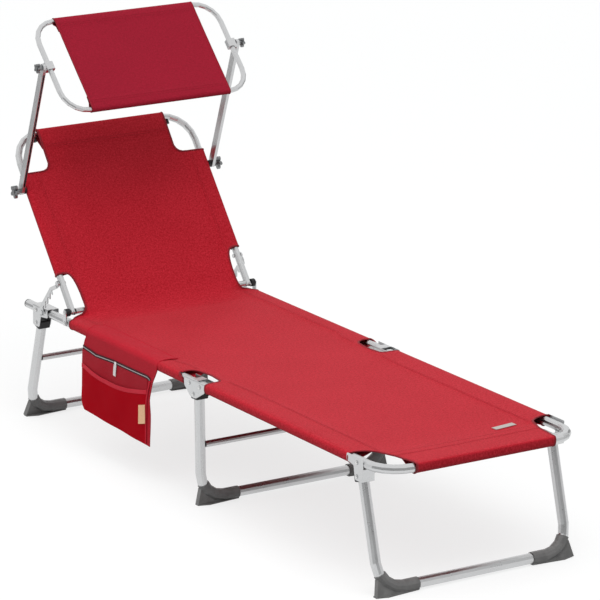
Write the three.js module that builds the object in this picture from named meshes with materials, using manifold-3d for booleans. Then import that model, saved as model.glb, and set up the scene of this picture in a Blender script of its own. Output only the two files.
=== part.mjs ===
// Folding sun lounger with a tilting canopy. Millimetres, +Z up, +Y from the foot end to the head end.
// Lengthwise places are measured from the centre of the foot bar until the last lines centre the part.
import * as THREE from 'three';
import { mergeVertices } from 'three/addons/utils/BufferGeometryUtils.js';
import Module from 'manifold-3d';

const wasm = await Module();
wasm.setup();

// Driving dimensions: tubes
const railTube = 22;
const legTube = 25;
const backTube = 17;
const canopyTube = 13;
const crossTube = 16;
const tubeWall = 1.5;
const fit = 0.3;

// Driving dimensions: seat frame
const railHalf = 264;
const railHeight = 298;
const hingeCentre = 785;
const hingeSpread = 46;
const railTail = 59;
const footBend = 70;
const endCapLip = 3;
const endCapDepth = 18;

// Driving dimensions: legs
const legInset = 5;
const pivotDrop = 32.7;
const legLean = 15.7;
const middleLean = 1.7;
const legBend = 62;
const footLegPlace = 96;
const middleLegOffset = 5;
const headLegOffset = 145;
const legCutBack = 13;
const middleCrossbarRise = 132;
const headCrossbarRise = 152;
const capReach = 102;
const capWall = 1.8;
const capStartAngle = 26;
const capTipOut = 12;
const capFinHeight = 40;
const capFinThickness = 14;
const capFinDraft = 9;
const capBaseWidth = 30;
const capBaseTip = 12;
const capBaseTaper = 28;
const capBaseThickness = 2.5;

// Driving dimensions: brackets and pins
const sheet = 1.7;
const sheetBend = 4;
const pin = 6;
const pinHead = 11;
const pinHeadHeight = 1.5;
const bracketSlack = 1.3;
const saddleHalf = 45;
const saddleShoulder = 9;
const saddleFoot = 12;
const headBracketTail = 15;
const headCheekNeck = 22;
const headCheekFoot = 15;
const catchEar = 21;
const footBracketReach = 40;
const footBracketNose = 25;
const plugHeel = 17;
const plugTop = 9;
const plugSpigot = 20;

// Driving dimensions: backrest
const backInset = 8;
const backHinge = 1396;
const backHingeRise = 26.5;
const backAngle = 51.6;
const backLength = 486;
const backBend = 75;
const hingePlateWidth = 15;
const hingePlateThickness = 2.5;
const recliningPin = 8;
const bushDiameter = 20;
const bufferDiameter = 10;
const bufferHeight = 10;
const bufferClearance = 3;
const bufferInset = 62;

// Driving dimensions: ratchet strut
const strutThickness = 3;
const strutPivotPlace = 80;
const strutPivotDrop = 4;
const strutAngle = 50;
const strutReach = 100;
const strutTip = 15;
const strutBack = 3.5;
const strutBody = 10;
const strutEye = 8;
const strutBoltHead = 14;
const strutPitch = 18.5;
const toothDepth = 8.5;
const toothLand = 2;
const joggleStart = 8.7;
const joggleEnd = 16;
const catchPin = 8;

// Driving dimensions: canopy
const armDrop = 147;
const armStandoff = 22.7;
const armLength = 355.5;
const armAngle = 109.1;
const armWidth = 20;
const armThickness = 8;
const armSlot = 4.8;
const armSlotDepth = 17;
const armEnd = 16;
const loopInset = 16.7;
const canopyFront = 134;
const canopyBack = 127;
const canopyBend = 60;
const canopyAngle = 45.3;
const canopyClothSlack = 3;
const loopButtGap = 0.6;

// Driving dimensions: star knobs
const lowerKnob = 35;
const upperKnob = 25;
const knobLobes = 5;
const lobeShare = 0.52;
const knobThickness = 7.5;
const lowerKnobStandoff = 10;
const upperKnobStandoff = 7.5;
const knobHub = 13;
const knobStud = 6;
const spacerDiameter = 18;
const clampHalf = 11;
const clampHeight = 18;
const clampFit = 0.45;

// Driving dimensions: cloth
const cloth = 1.5;
const sleeveSlack = 0.5;
const seatSag = 6;
const backSag = 5;
const canopySag = 3;
const panelRiseShare = 0.8;
const footEdgeSlack = 4;
const footCornerInset = 42;
const footCornerLength = 138;
const waistFootReach = 52;
const waistHeadReach = 74;
const waistInset = 42;
const waistLip = 20;
const foldGap = 12;
const seatSleeveGap = 21;
const seatPanelGap = 10;
const hipInset = 34;
const hipLength = 97;
const backPanelStart = 14;
const shoulderInset = 72;
const shoulderDrop = 107;
const shoulderCorner = 18;

// Driving dimensions: organiser
const pocketFlapInset = 46;
const pocketFlapFlare = 32;
const pocketFlapSlant = 11;
const pocketPlace = 94;
const pocketLength = 315;
const pocketDrop = 201;
const pocketShoulderDrop = 40;
const pocketRise = 10;
const pocketCorner = 30;
const pocketCloth = 2;
const pouchRise = 114;
const pouchSlant = 17;
const pouchDepth = 14;
const pouchFootShare = 0.7;
const pouchSeam = 8;
const zipDrop = 39;
const zipPadDepth = 4;

// Facets and one overrun that serves every cut
const tubeSides = 12;
const boreSides = 6;
const bendSteps = 5;
const legBendSteps = 4;
const cornerSteps = 3;
const pinSides = 10;
const lobeSteps = 6;
const panelSteps = 6;
const overrun = 5;

const turn = Math.PI * 2;
const radians = (degreesValue) => degreesValue * Math.PI / 180;

// Places that follow from the sizes above
const railRadius = railTube / 2;
const legRadius = legTube / 2;
const backRadius = backTube / 2;
const footRivet = hingeCentre - hingeSpread / 2;
const seatRivet = hingeCentre + hingeSpread / 2;
const middleLegPlace = hingeCentre + middleLegOffset;
const headLegPlace = backHinge + headLegOffset;
const seatRailEnd = headLegPlace + railTail;
const legHalf = railHalf - legInset;
const barHeight = legRadius + capBaseThickness;
const leaningPivot = railHeight - pivotDrop;
const legLength = (leaningPivot - barHeight) / Math.cos(radians(legLean));
const middlePivot = barHeight + legLength * Math.cos(radians(middleLean));
const backHingeHeight = railHeight + backHingeRise;
const bracketOuter = railHalf + railRadius + fit + sheet;
const bracketInner = legHalf - legRadius - bracketSlack - sheet;
const bracketTop = railHeight + railRadius + fit + sheet;
const strutInnerFace = bracketOuter + pinHeadHeight + fit;
const backHalf = railHalf - backInset;
const armPlace = backLength - armDrop;
const armHalf = backHalf + armStandoff;
const armInnerFace = armHalf - armThickness / 2;
const armOuterFace = armHalf + armThickness / 2;
const boreFlatShare = Math.cos(Math.PI / boreSides);
const railSleeve = railRadius + sleeveSlack + cloth;
const backSleeve = backRadius + sleeveSlack + cloth;
const canopySleeve = canopyTube / 2 + sleeveSlack + cloth;
const canopyHalf = armHalf - loopInset;
const canopyClothHalf = canopyHalf - canopyBend - canopyClothSlack;
const railPanel = railHeight + railRadius * panelRiseShare;
const footEdgeHalf = railHalf - footBend - footEdgeSlack;
const footCornerHalf = railHalf - footCornerInset;
const waistStart = hingeCentre - waistFootReach;
const waistEnd = hingeCentre + waistHeadReach;
const waistHalf = railHalf - waistInset;
const seatSleeveEnd = backHinge - seatSleeveGap;
const seatPanelEnd = backHinge - seatPanelGap;
const hipHalf = backHalf - hipInset;
const shoulderHalf = backHalf - shoulderInset;
const shoulderPlace = backLength - shoulderDrop;
const pocketHead = backHinge - pocketPlace;
const pocketFoot = pocketHead - pocketLength;
const pocketFlapHalf = railHalf - pocketFlapInset;
const pocketFlapFoot = pocketFoot - pocketFlapFlare;
const pocketFlapHead = pocketHead - pocketFlapSlant;
const pocketShoulder = railHeight - pocketShoulderDrop;
const pocketBottom = railHeight - pocketDrop;
const pouchTop = pocketBottom + pouchRise;
const pouchTopAtFoot = pouchTop + pouchSlant;
const zipTop = railHeight - zipDrop;

// The catch pin stands where the strut's last notch is when the backrest is up
const notchOffset = strutBody - strutBack + catchPin / 2 + fit;
const alongBack = (s, n) => [
  backHinge + s * Math.cos(radians(backAngle)) - n * Math.sin(radians(backAngle)),
  backHingeHeight + s * Math.sin(radians(backAngle)) + n * Math.cos(radians(backAngle)),
];
const [strutY, strutZ] = alongBack(strutPivotPlace, -strutPivotDrop);
const strutAcross = Math.sin(radians(strutAngle));
const strutAlong = Math.cos(radians(strutAngle));
const catchPlace = strutY + strutReach * strutAlong - notchOffset * strutAcross;
const catchHeight = strutZ - strutReach * strutAcross - notchOffset * strutAlong;

// Finishes
const finish = (color, roughness, metalness) =>
  new THREE.MeshStandardMaterial({ color, roughness, metalness });
const finishes = {
  aluminium: () => finish(0xc4c6c8, 0.35, 0.9),
  steel: () => finish(0xb9bbbd, 0.3, 0.9),
  greyPlastic: () => finish(0x595b5c, 0.6, 0),
  blackPlastic: () => finish(0x141415, 0.55, 0),
  knobMetal: () => finish(0x9a9c9e, 0.35, 0.8),
  redCloth: () => finish(0xa81a2b, 0.9, 0),
};

// Solids: a closed geometry becomes a solid that can be joined and cut, and comes back as a geometry
function solidOf(geometry) {
  const bare = geometry.clone();
  bare.deleteAttribute('normal');
  bare.deleteAttribute('uv');
  const welded = mergeVertices(bare);
  const vertProperties = Float32Array.from(welded.attributes.position.array);
  const triVerts = Uint32Array.from(welded.index.array);
  return new wasm.Manifold(new wasm.Mesh({ numProp: 3, vertProperties, triVerts }));
}

function geometryOf(solid) {
  const { vertProperties, triVerts } = solid.getMesh();
  const geometry = new THREE.BufferGeometry();
  geometry.setAttribute('position', new THREE.BufferAttribute(vertProperties, 3));
  geometry.setIndex(new THREE.BufferAttribute(triVerts, 1));
  geometry.computeVertexNormals();
  return geometry;
}

const join = (...solids) => solids.reduce((sum, solid) => sum.add(solid));
const cut = (body, ...tools) => tools.reduce((rest, tool) => rest.subtract(tool), body);

// A round bar from one point to another
function rod(radius, from, to, sides = pinSides) {
  const start = new THREE.Vector3(...from);
  const end = new THREE.Vector3(...to);
  const along = end.clone().sub(start);
  const geometry = new THREE.CylinderGeometry(radius, radius, along.length(), sides);
  const up = new THREE.Vector3(0, 1, 0);
  geometry.applyQuaternion(new THREE.Quaternion().setFromUnitVectors(up, along.clone().normalize()));
  const middle = start.add(end).multiplyScalar(0.5);
  geometry.translate(middle.x, middle.y, middle.z);
  return solidOf(geometry);
}

function block(low, high) {
  const size = high.map((value, index) => value - low[index]);
  const geometry = new THREE.BoxGeometry(...size);
  geometry.translate(...low.map((value, index) => value + size[index] / 2));
  return solidOf(geometry);
}

// Outlines drawn in the side view (Y, Z), the plan (X, Y) or the end view (X, Z), given thickness across it
function extruded(shape, depth, curveSegments) {
  return new THREE.ExtrudeGeometry(shape, { depth, bevelEnabled: false, curveSegments });
}

function sidePrism(shape, from, to, curveSegments = cornerSteps) {
  const geometry = extruded(shape, to - from, curveSegments);
  const basis = new THREE.Matrix4().makeBasis(
    new THREE.Vector3(0, 1, 0), new THREE.Vector3(0, 0, 1), new THREE.Vector3(1, 0, 0));
  geometry.applyMatrix4(basis);
  geometry.translate(from, 0, 0);
  return solidOf(geometry);
}

function planPrism(shape, from, to, curveSegments = cornerSteps) {
  const geometry = extruded(shape, to - from, curveSegments);
  geometry.translate(0, 0, from);
  return solidOf(geometry);
}

function endPrism(shape, from, to, curveSegments = cornerSteps) {
  const geometry = extruded(shape, to - from, curveSegments);
  geometry.rotateX(Math.PI / 2);
  geometry.translate(0, to, 0);
  return solidOf(geometry);
}

const outline = (points) => new THREE.Shape(points.map(([across, up]) => new THREE.Vector2(across, up)));

// A polygon whose corners are rounded where a third number gives a radius
function roundedOutline(corners) {
  const shape = new THREE.Shape();
  corners.forEach(([x, y, radius = 0], index) => {
    const corner = new THREE.Vector2(x, y);
    const before = new THREE.Vector2(...corners.at(index - 1).slice(0, 2)).sub(corner);
    const after = new THREE.Vector2(...corners[(index + 1) % corners.length].slice(0, 2)).sub(corner);
    const start = corner.clone().add(before.setLength(Math.min(radius, before.length() / 2)));
    const end = corner.clone().add(after.setLength(Math.min(radius, after.length() / 2)));
    if (index === 0) shape.moveTo(start.x, start.y);
    else shape.lineTo(start.x, start.y);
    if (radius > 0) shape.quadraticCurveTo(x, y, end.x, end.y);
  });
  shape.closePath();
  return shape;
}

// A route of straight runs and round bends, with rings only where the tube bends
class BentRoute extends THREE.Curve {
  constructor(corners, bend, steps) {
    super();
    const points = corners.map((corner) => new THREE.Vector3(...corner));
    this.stations = [];
    points.forEach((point, index) => {
      if (index === 0 || index === points.length - 1) {
        const other = index === 0 ? points[1] : points[index - 1];
        const tangent = index === 0 ? other.clone().sub(point) : point.clone().sub(other);
        this.stations.push({ point, tangent: tangent.normalize() });
        return;
      }
      const into = point.clone().sub(points[index - 1]).normalize();
      const out = points[index + 1].clone().sub(point).normalize();
      const angle = into.angleTo(out);
      const setback = bend * Math.tan(angle / 2);
      const centre = point.clone().addScaledVector(into, -setback)
        .addScaledVector(out.clone().addScaledVector(into, -into.dot(out)).normalize(), bend);
      const axis = into.clone().cross(out).normalize();
      const spoke = point.clone().addScaledVector(into, -setback).sub(centre);
      for (let step = 0; step <= steps; step += 1) {
        const sweep = angle * step / steps;
        this.stations.push({
          point: spoke.clone().applyAxisAngle(axis, sweep).add(centre),
          tangent: into.clone().applyAxisAngle(axis, sweep),
        });
      }
    });
  }

  at(share, key) {
    const place = Math.min(Math.max(share, 0), 1) * (this.stations.length - 1);
    const index = Math.min(Math.floor(place), this.stations.length - 2);
    return this.stations[index][key].clone().lerp(this.stations[index + 1][key], place - index);
  }

  getPoint(share) {
    return this.at(share, 'point');
  }

  getPointAt(share) {
    return this.at(share, 'point');
  }

  getTangentAt(share) {
    return this.at(share, 'tangent').normalize();
  }
}

function ring(radius, sides) {
  return Array.from({ length: sides }, (_, index) => {
    const angle = turn * index / sides;
    return new THREE.Vector2(radius * Math.cos(angle), radius * Math.sin(angle));
  });
}

function alongRoute(route, radius, sides = tubeSides, bore = 0) {
  const section = new THREE.Shape(ring(radius, sides));
  if (bore > 0) section.holes.push(new THREE.Path(ring(bore, boreSides)));
  const steps = route.stations.length - 1;
  return solidOf(new THREE.ExtrudeGeometry(section, { extrudePath: route, steps, bevelEnabled: false }));
}

const tube = (corners, diameter, bend = 0, steps = bendSteps) =>
  alongRoute(new BentRoute(corners, bend, steps), diameter / 2, tubeSides, diameter / 2 - tubeWall);

const crossRod = (radius, y, z, from, to, sides = pinSides) => rod(radius, [from, y, z], [to, y, z], sides);

// The span between two distances from the middle on one side, low value first
const span = (side, near, far) => [side * near, side * far].sort((a, b) => a - b);

// A fixing rivet from a plate on the outside of a tube into the tube's outer wall
function wallRivet(y, z, side, tubeHalf, tubeRadius, face) {
  return join(
    crossRod(pin / 2, y, z, side * (tubeHalf + tubeRadius / 2), side * (face + pinHeadHeight)),
    crossRod(pinHead / 2, y, z, side * face, side * (face + pinHeadHeight)),
  );
}

const wallHole = (y, z, side, tubeHalf, radius) =>
  crossRod(radius, y, z, side * tubeHalf, side * (tubeHalf + railTube));

// A hole through both walls of a tube that runs beside the middle plane
const throughHole = (y, z, side, tubeHalf, diameter, radius) =>
  crossRod(radius, y, z, side * (tubeHalf - diameter), side * (tubeHalf + diameter));

// A rivet across a bracket on one side, with a head at each end
function rivet(y, z, side) {
  const outside = bracketOuter + pinHeadHeight;
  const inside = bracketInner - pinHeadHeight;
  return join(
    crossRod(pin / 2, y, z, side * inside, side * outside),
    crossRod(pinHead / 2, y, z, side * bracketOuter, side * outside),
    crossRod(pinHead / 2, y, z, side * inside, side * bracketInner),
  );
}

// Takes the square corners off a tube's end, so that it is round about the pin that it turns on
function roundEnd(pinPlace, height, radius, direction, half) {
  const shape = new THREE.Shape();
  shape.moveTo(pinPlace, height + radius + overrun);
  shape.lineTo(pinPlace + direction * (radius + overrun), height + radius + overrun);
  shape.lineTo(pinPlace + direction * (radius + overrun), height - radius - overrun);
  shape.lineTo(pinPlace, height - radius - overrun);
  shape.lineTo(pinPlace, height - radius);
  shape.absarc(pinPlace, height, radius, -Math.PI / 2, Math.PI / 2, direction < 0);
  return sidePrism(shape, half - radius - overrun, half + radius + overrun);
}

// Pieces are gathered as named meshes, in groups that stand where the joints are
const lounger = new THREE.Group();

function group(parent, place, angle = 0) {
  const member = new THREE.Group();
  member.position.set(...place);
  member.rotation.x = radians(angle);
  parent.add(member);
  return member;
}

function piece(parent, name, material, solid) {
  const mesh = new THREE.Mesh(geometryOf(solid), material());
  mesh.name = name;
  parent.add(mesh);
}

const sides = [['left', -1], ['right', 1]];

// Seat rails with a round front end on the hinge rivet and a plugged rear end
function seatRail(side) {
  const body = tube([[side * railHalf, seatRivet - railRadius, railHeight],
    [side * railHalf, seatRailEnd, railHeight]], railTube);
  return cut(body,
    roundEnd(seatRivet, railHeight, railRadius, -1, side * railHalf),
    throughHole(seatRivet, railHeight, side, railHalf, railTube, pin / 2 + fit),
    wallHole(backHinge, railHeight, side, railHalf, pin / 2 + fit),
    wallHole(headLegPlace, railHeight, side, railHalf, pin / 2 + fit));
}

function railEndCap(side) {
  const place = side * railHalf;
  const plugRadius = (railRadius - tubeWall) * boreFlatShare - fit;
  const plug = rod(plugRadius, [place, seatRailEnd - endCapDepth, railHeight],
    [place, seatRailEnd + fit + endCapLip, railHeight], boreSides);
  const lip = rod(railRadius, [place, seatRailEnd + fit, railHeight],
    [place, seatRailEnd + fit + endCapLip, railHeight], tubeSides);
  return join(plug, lip);
}

// Foot frame: one bent tube whose two ends turn on the hinge rivets
function footFrame() {
  const body = tube([[-railHalf, footRivet + railRadius, railHeight], [-railHalf, 0, railHeight],
    [railHalf, 0, railHeight], [railHalf, footRivet + railRadius, railHeight]], railTube, footBend);
  const cuts = sides.flatMap(([, side]) => [
    roundEnd(footRivet, railHeight, railRadius, 1, side * railHalf),
    throughHole(footRivet, railHeight, side, railHalf, railTube, pin / 2 + fit),
    wallHole(footLegPlace, railHeight, side, railHalf, pin / 2 + fit),
  ]);
  return cut(body, ...cuts);
}

// Bent sheet over a rail: two cheeks and a web, cut to the side outline
function saddle(side, shape, from, to) {
  const width = span(side, bracketInner, bracketOuter);
  const low = railHeight - railTube * 3;
  const outer = roundedOutline([[width[0], low], [width[1], low],
    [width[1], bracketTop, sheetBend], [width[0], bracketTop, sheetBend]]);
  const inner = roundedOutline([[width[0] + sheet, low - overrun], [width[1] - sheet, low - overrun],
    [width[1] - sheet, bracketTop - sheet, sheetBend - sheet],
    [width[0] + sheet, bracketTop - sheet, sheetBend - sheet]]);
  const bent = cut(endPrism(outer, from - overrun, to + overrun), endPrism(inner, from - overrun * 2,
    to + overrun * 2));
  return bent.intersect(sidePrism(shape, width[0] - overrun, width[1] + overrun));
}

// Middle bracket: both rails and the leg turn on it, and its web stays clear of the rails as they fold up
function middleBracket(side) {
  const low = middlePivot - saddleShoulder;
  const front = hingeCentre - saddleHalf;
  const back = hingeCentre + saddleHalf;
  const shape = roundedOutline([
    [front, bracketTop + overrun], [front, railHeight - saddleShoulder, sheetBend],
    [middleLegPlace - saddleFoot, low, sheetBend * 2], [middleLegPlace + saddleFoot, low, sheetBend * 2],
    [back, railHeight - saddleShoulder, sheetBend], [back, bracketTop + overrun],
  ]);
  const body = saddle(side, shape, front, back);
  const openings = [-1, 1].map((end) => {
    const web = hingeCentre + end * (hingeSpread / 2 - railRadius - fit * 2);
    const past = hingeCentre + end * (saddleHalf + overrun);
    const inside = side * (bracketInner + sheet);
    const outside = side * (bracketOuter - sheet);
    return block([Math.min(inside, outside), Math.min(web, past), railHeight],
      [Math.max(inside, outside), Math.max(web, past), bracketTop + overrun]);
  });
  return join(cut(body, ...openings), rivet(footRivet, railHeight, side),
    rivet(seatRivet, railHeight, side), rivet(middleLegPlace, middlePivot, side));
}

// Head bracket: a saddle on the seat rail with a narrow cheek down to the head leg's pivot, and an ear
// toward the foot end that carries the catch pin of the ratchet
function headBracket(side) {
  const front = catchPlace - catchEar;
  const back = headLegPlace + headBracketTail;
  const neck = railHeight - saddleShoulder - sheetBend;
  const low = leaningPivot - saddleShoulder;
  const shape = roundedOutline([
    [front, bracketTop + overrun], [front, railHeight - saddleShoulder, sheetBend],
    [headLegPlace - headCheekNeck, neck, sheetBend], [headLegPlace - headCheekFoot, low, sheetBend],
    [headLegPlace + saddleFoot + sheetBend, low, sheetBend * 2],
    [back, railHeight - railRadius, sheetBend], [back, bracketTop + overrun],
  ]);
  const body = saddle(side, shape, front, back);
  const catchEnd = strutInnerFace + strutThickness + fit + pinHeadHeight;
  const place = [catchPlace, catchHeight];
  return join(body, rivet(headLegPlace, leaningPivot, side),
    wallRivet(headLegPlace, railHeight, side, railHalf, railRadius, bracketOuter),
    crossRod(catchPin / 2, ...place, side * (bracketOuter - sheet / 2), side * catchEnd),
    crossRod(pinHead / 2, ...place, side * (catchEnd - pinHeadHeight), side * catchEnd));
}

// Foot bracket: the web stands upright at the foot side, under the tube, and stops the leg
function footBracket(side) {
  const front = footLegPlace - footBracketNose;
  const low = leaningPivot - saddleShoulder;
  const width = span(side, bracketInner, bracketOuter);
  const back = footLegPlace + footBracketReach;
  const outer = roundedOutline([[width[0], front, sheetBend], [width[1], front, sheetBend],
    [width[1], back], [width[0], back]]);
  const inner = roundedOutline([[width[0] + sheet, front + sheet, sheetBend - sheet],
    [width[1] - sheet, front + sheet, sheetBend - sheet],
    [width[1] - sheet, back + overrun], [width[0] + sheet, back + overrun]]);
  const shape = roundedOutline([
    [front, low, sheetBend], [footLegPlace + saddleFoot / 2, low, sheetBend],
    [footLegPlace + saddleFoot, railHeight - saddleShoulder, sheetBend],
    [back, railHeight - saddleShoulder / 2, sheetBend], [back, bracketTop, sheetBend],
    [front, bracketTop, sheetBend],
  ]);
  const bent = cut(planPrism(outer, low - overrun, bracketTop + overrun),
    planPrism(inner, low - overrun * 2, bracketTop + overrun * 2));
  const cheeks = bent.intersect(sidePrism(shape, width[0] - overrun, width[1] + overrun));
  const [nearWall, farWall] = side > 0 ? [-overrun, -sheet] : [sheet, overrun];
  const tubeWay = block([width[0] + nearWall, front - overrun, railHeight - railRadius - fit],
    [width[1] + farWall, back + overrun, bracketTop + overrun]);
  return join(cut(cheeks, tubeWay), rivet(footLegPlace, leaningPivot, side),
    wallRivet(footLegPlace, railHeight, side, railHalf, railRadius, bracketOuter));
}

// Legs: a bent tube with plugged tops, drawn hanging straight down from its pivots
function legTubeBody() {
  return tube([[-legHalf, 0, -legCutBack], [-legHalf, 0, -legLength],
    [legHalf, 0, -legLength], [legHalf, 0, -legCutBack]], legTube, legBend, legBendSteps);
}

// Pivot plug: its heel faces the foot end, and its spigot sits in the leg tube
function legPlug(side) {
  const half = span(side, bracketInner + sheet + fit, bracketOuter - sheet - fit);
  const shape = roundedOutline([
    [-plugHeel, -legCutBack + fit, sheetBend], [legRadius, -legCutBack + fit, sheetBend],
    [legRadius, plugTop, plugTop], [-plugHeel, plugTop, sheetBend],
  ]);
  const spigotRadius = (legRadius - tubeWall) * boreFlatShare - fit;
  const spigot = rod(spigotRadius, [side * legHalf, 0, -legCutBack - plugSpigot],
    [side * legHalf, 0, -pin], boreSides);
  return cut(join(sidePrism(shape, half[0], half[1]), spigot),
    crossRod(pin / 2 + fit, 0, 0, half[0] - overrun, half[1] + overrun));
}

function crossbar(rise) {
  const reach = legHalf - legRadius - fit;
  const height = -legLength + rise;
  return tube([[-reach, 0, height], [reach, 0, height]], crossTube);
}

// Foot cap: a sleeve round the bend with a fin to the outside and a flat base on the floor
function footCap(side, lean, sideSign) {
  const end = side * (legHalf - capReach);
  const past = side * (legHalf - capReach - overrun);
  const route = (last) => new BentRoute([[side * legHalf, 0, -legLength + legBend + overrun],
    [side * legHalf, 0, -legLength], [last, 0, -legLength]], legBend, legBendSteps);
  const sleeve = alongRoute(route(end), legRadius + fit + capWall);
  const bore = alongRoute(route(past), legRadius + fit);
  const floor = -legLength - barHeight;
  const tip = side * (legHalf + capTipOut);
  const fin = endPrism(outline([[tip, floor], [tip - side * capFinDraft, floor + capFinHeight],
    [side * (legHalf - legRadius), floor + capFinHeight], [side * (legHalf - legBend), -legLength],
    [end, -legLength], [end, floor]]), -capFinThickness / 2, capFinThickness / 2);
  const upper = new THREE.BoxGeometry(legHalf, legRadius * 4, legHalf);
  upper.translate(side * legHalf / 2, 0, legHalf / 2);
  upper.rotateY(side * radians(capStartAngle));
  upper.translate(side * (legHalf - legBend), 0, -legLength + legBend);
  const toFloor = new THREE.Matrix4().makeRotationX(radians(-sideSign * lean));
  const half = capBaseWidth / 2;
  const heel = tip - side * capBaseTaper;
  const baseShape = outline([[tip, -capBaseTip / 2], [tip, capBaseTip / 2], [heel, half],
    [end, capFinThickness / 2], [end, -capFinThickness / 2], [heel, -half]]);
  const drop = legLength * Math.cos(radians(lean)) + barHeight;
  const shift = sideSign * legLength * Math.sin(radians(lean));
  const baseGeometry = extruded(baseShape, capBaseThickness, 1);
  baseGeometry.translate(0, shift, -drop);
  baseGeometry.applyMatrix4(toFloor);
  const under = new THREE.BoxGeometry(legHalf * 4, legLength * 2, legLength);
  under.translate(0, shift, -drop - legLength / 2);
  under.applyMatrix4(toFloor);
  return cut(join(sleeve, fin, solidOf(baseGeometry)), bore, solidOf(upper), solidOf(under));
}

// One leg with its plugs and caps; sideSign is +1 when its foot stands toward the head end
function buildLeg(parent, name, place, height, lean, sideSign, crossbarRise) {
  const leg = group(parent, [0, place, height], sideSign * lean);
  piece(leg, `${name}_leg_tube`, finishes.aluminium, legTubeBody());
  sides.forEach(([word, side]) => {
    piece(leg, `${name}_leg_plug_${word}`, finishes.blackPlastic, legPlug(side));
    piece(leg, `${name}_cap_${word}`, finishes.greyPlastic, footCap(side, lean, sideSign));
  });
  if (crossbarRise > 0) piece(leg, `${name}_leg_crossbar`, finishes.aluminium, crossbar(crossbarRise));
}

sides.forEach(([word, side]) => {
  piece(lounger, `seat_rail_${word}`, finishes.aluminium, seatRail(side));
  piece(lounger, `rail_end_cap_${word}`, finishes.greyPlastic, railEndCap(side));
  piece(lounger, `middle_bracket_${word}`, finishes.steel, middleBracket(side));
  piece(lounger, `head_bracket_${word}`, finishes.steel, headBracket(side));
  piece(lounger, `foot_bracket_${word}`, finishes.steel, footBracket(side));
});
piece(lounger, 'foot_frame_tube', finishes.aluminium, footFrame());
buildLeg(lounger, 'foot', footLegPlace, leaningPivot, legLean, -1, 0);
buildLeg(lounger, 'middle', middleLegPlace, middlePivot, middleLean, -1, middleCrossbarRise);
buildLeg(lounger, 'head', headLegPlace, leaningPivot, legLean, 1, headCrossbarRise);

// Recline hinge: a plate on the outside of each rail with the pin that the backrest turns on
function hingePlate(side) {
  const near = railHalf + railRadius + fit;
  const far = near + hingePlateThickness;
  const half = hingePlateWidth / 2;
  const shape = new THREE.Shape();
  shape.moveTo(backHinge - half, railHeight - pinHead / 2);
  shape.lineTo(backHinge + half, railHeight - pinHead / 2);
  shape.lineTo(backHinge + half, backHingeHeight);
  shape.absarc(backHinge, backHingeHeight, half, 0, Math.PI, false);
  const inside = backHalf - backTube;
  const end = far + pinHeadHeight;
  const place = [backHinge, backHingeHeight];
  return join(sidePrism(shape, ...span(side, near, far)),
    wallRivet(backHinge, railHeight, side, railHalf, railRadius, far),
    crossRod(recliningPin / 2, ...place, side * inside, side * end),
    crossRod(recliningPin / 2 + pinHeadHeight, ...place, side * far, side * end));
}

function hingeBush(side) {
  const near = side * (backHalf + backRadius + fit);
  const far = side * (railHalf + railRadius);
  const place = [backHinge, backHingeHeight];
  return cut(crossRod(bushDiameter / 2, ...place, near, far, tubeSides),
    crossRod(recliningPin / 2 + fit, ...place, near - side * overrun, far + side * overrun));
}

sides.forEach(([word, side]) => {
  piece(lounger, `recline_plate_${word}`, finishes.steel, hingePlate(side));
  piece(lounger, `recline_bush_${word}`, finishes.blackPlastic, hingeBush(side));
});

// Backrest, drawn along +Y from its hinge with its front face up, then leant back
const back = group(lounger, [0, backHinge, backHingeHeight], backAngle);

function backFrame() {
  const body = tube([[-backHalf, -backRadius, 0], [-backHalf, backLength, 0],
    [backHalf, backLength, 0], [backHalf, -backRadius, 0]], backTube, backBend);
  const cuts = sides.flatMap(([, side]) => [
    roundEnd(0, 0, backRadius, -1, side * backHalf),
    throughHole(0, 0, side, backHalf, backTube, recliningPin / 2 + fit),
    throughHole(strutPivotPlace, -strutPivotDrop, side, backHalf, backTube, pin / 2 + fit),
    wallHole(armPlace, 0, side, backHalf, knobStud / 2 + fit),
  ]);
  return cut(body, ...cuts);
}

function backCrossTube() {
  const reach = backHalf - backRadius - fit;
  return tube([[-reach, 0, 0], [reach, 0, 0]], crossTube);
}

function backBuffer(side) {
  const top = backLength - backRadius - bufferClearance;
  const place = side * (backHalf - bufferInset);
  return rod(bufferDiameter / 2, [place, top - bufferHeight, 0], [place, top, 0]);
}

// Ratchet strut: a flat bar with an eye, cranked outward to clear the bracket, with hooked teeth on its edge
function strut(side) {
  const lower = strutBack - strutBody;
  const wall = catchPin / 2 + fit;
  const end = strutReach + strutTip;
  const teeth = 1 + Math.floor((strutReach - wall - toothLand - joggleEnd) / strutPitch);
  const points = [[0, strutBack], [end - strutBack, strutBack], [end, 0], [end, lower],
    [end - strutBack, lower - toothDepth]];
  for (let tooth = 0; tooth < teeth; tooth += 1) {
    const notch = strutReach - tooth * strutPitch;
    points.push([notch + wall / 2, lower], [notch - wall, lower], [notch - wall, lower - toothDepth],
      [notch - wall - toothLand, lower - toothDepth]);
  }
  const first = strutReach - (teeth - 1) * strutPitch - wall - toothLand;
  points.push([Math.max(first - toothDepth, joggleEnd), lower], [0, lower]);
  const near = backHalf + backRadius + fit * 2;
  const far = strutInnerFace;
  const nearOut = near + strutThickness;
  const farOut = far + strutThickness;
  const eye = crossRod(strutEye, 0, 0, side * near, side * farOut, tubeSides);
  const profile = join(sidePrism(outline(points), ...span(side, near, farOut)), eye);
  const crank = [[near, -strutEye * 2], [near, joggleStart], [far, joggleEnd], [far, end + overrun],
    [farOut, end + overrun], [farOut, joggleEnd - strutThickness / 2],
    [nearOut, joggleStart - strutThickness / 2], [nearOut, -strutEye * 2]];
  const bar = planPrism(outline(crank.map(([across, along]) => [side * across, along])),
    lower - toothDepth - overrun, strutEye + overrun);
  return cut(profile.intersect(bar),
    crossRod(pin / 2 + fit, 0, 0, side * (near - overrun), side * (far + overrun)));
}

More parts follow.
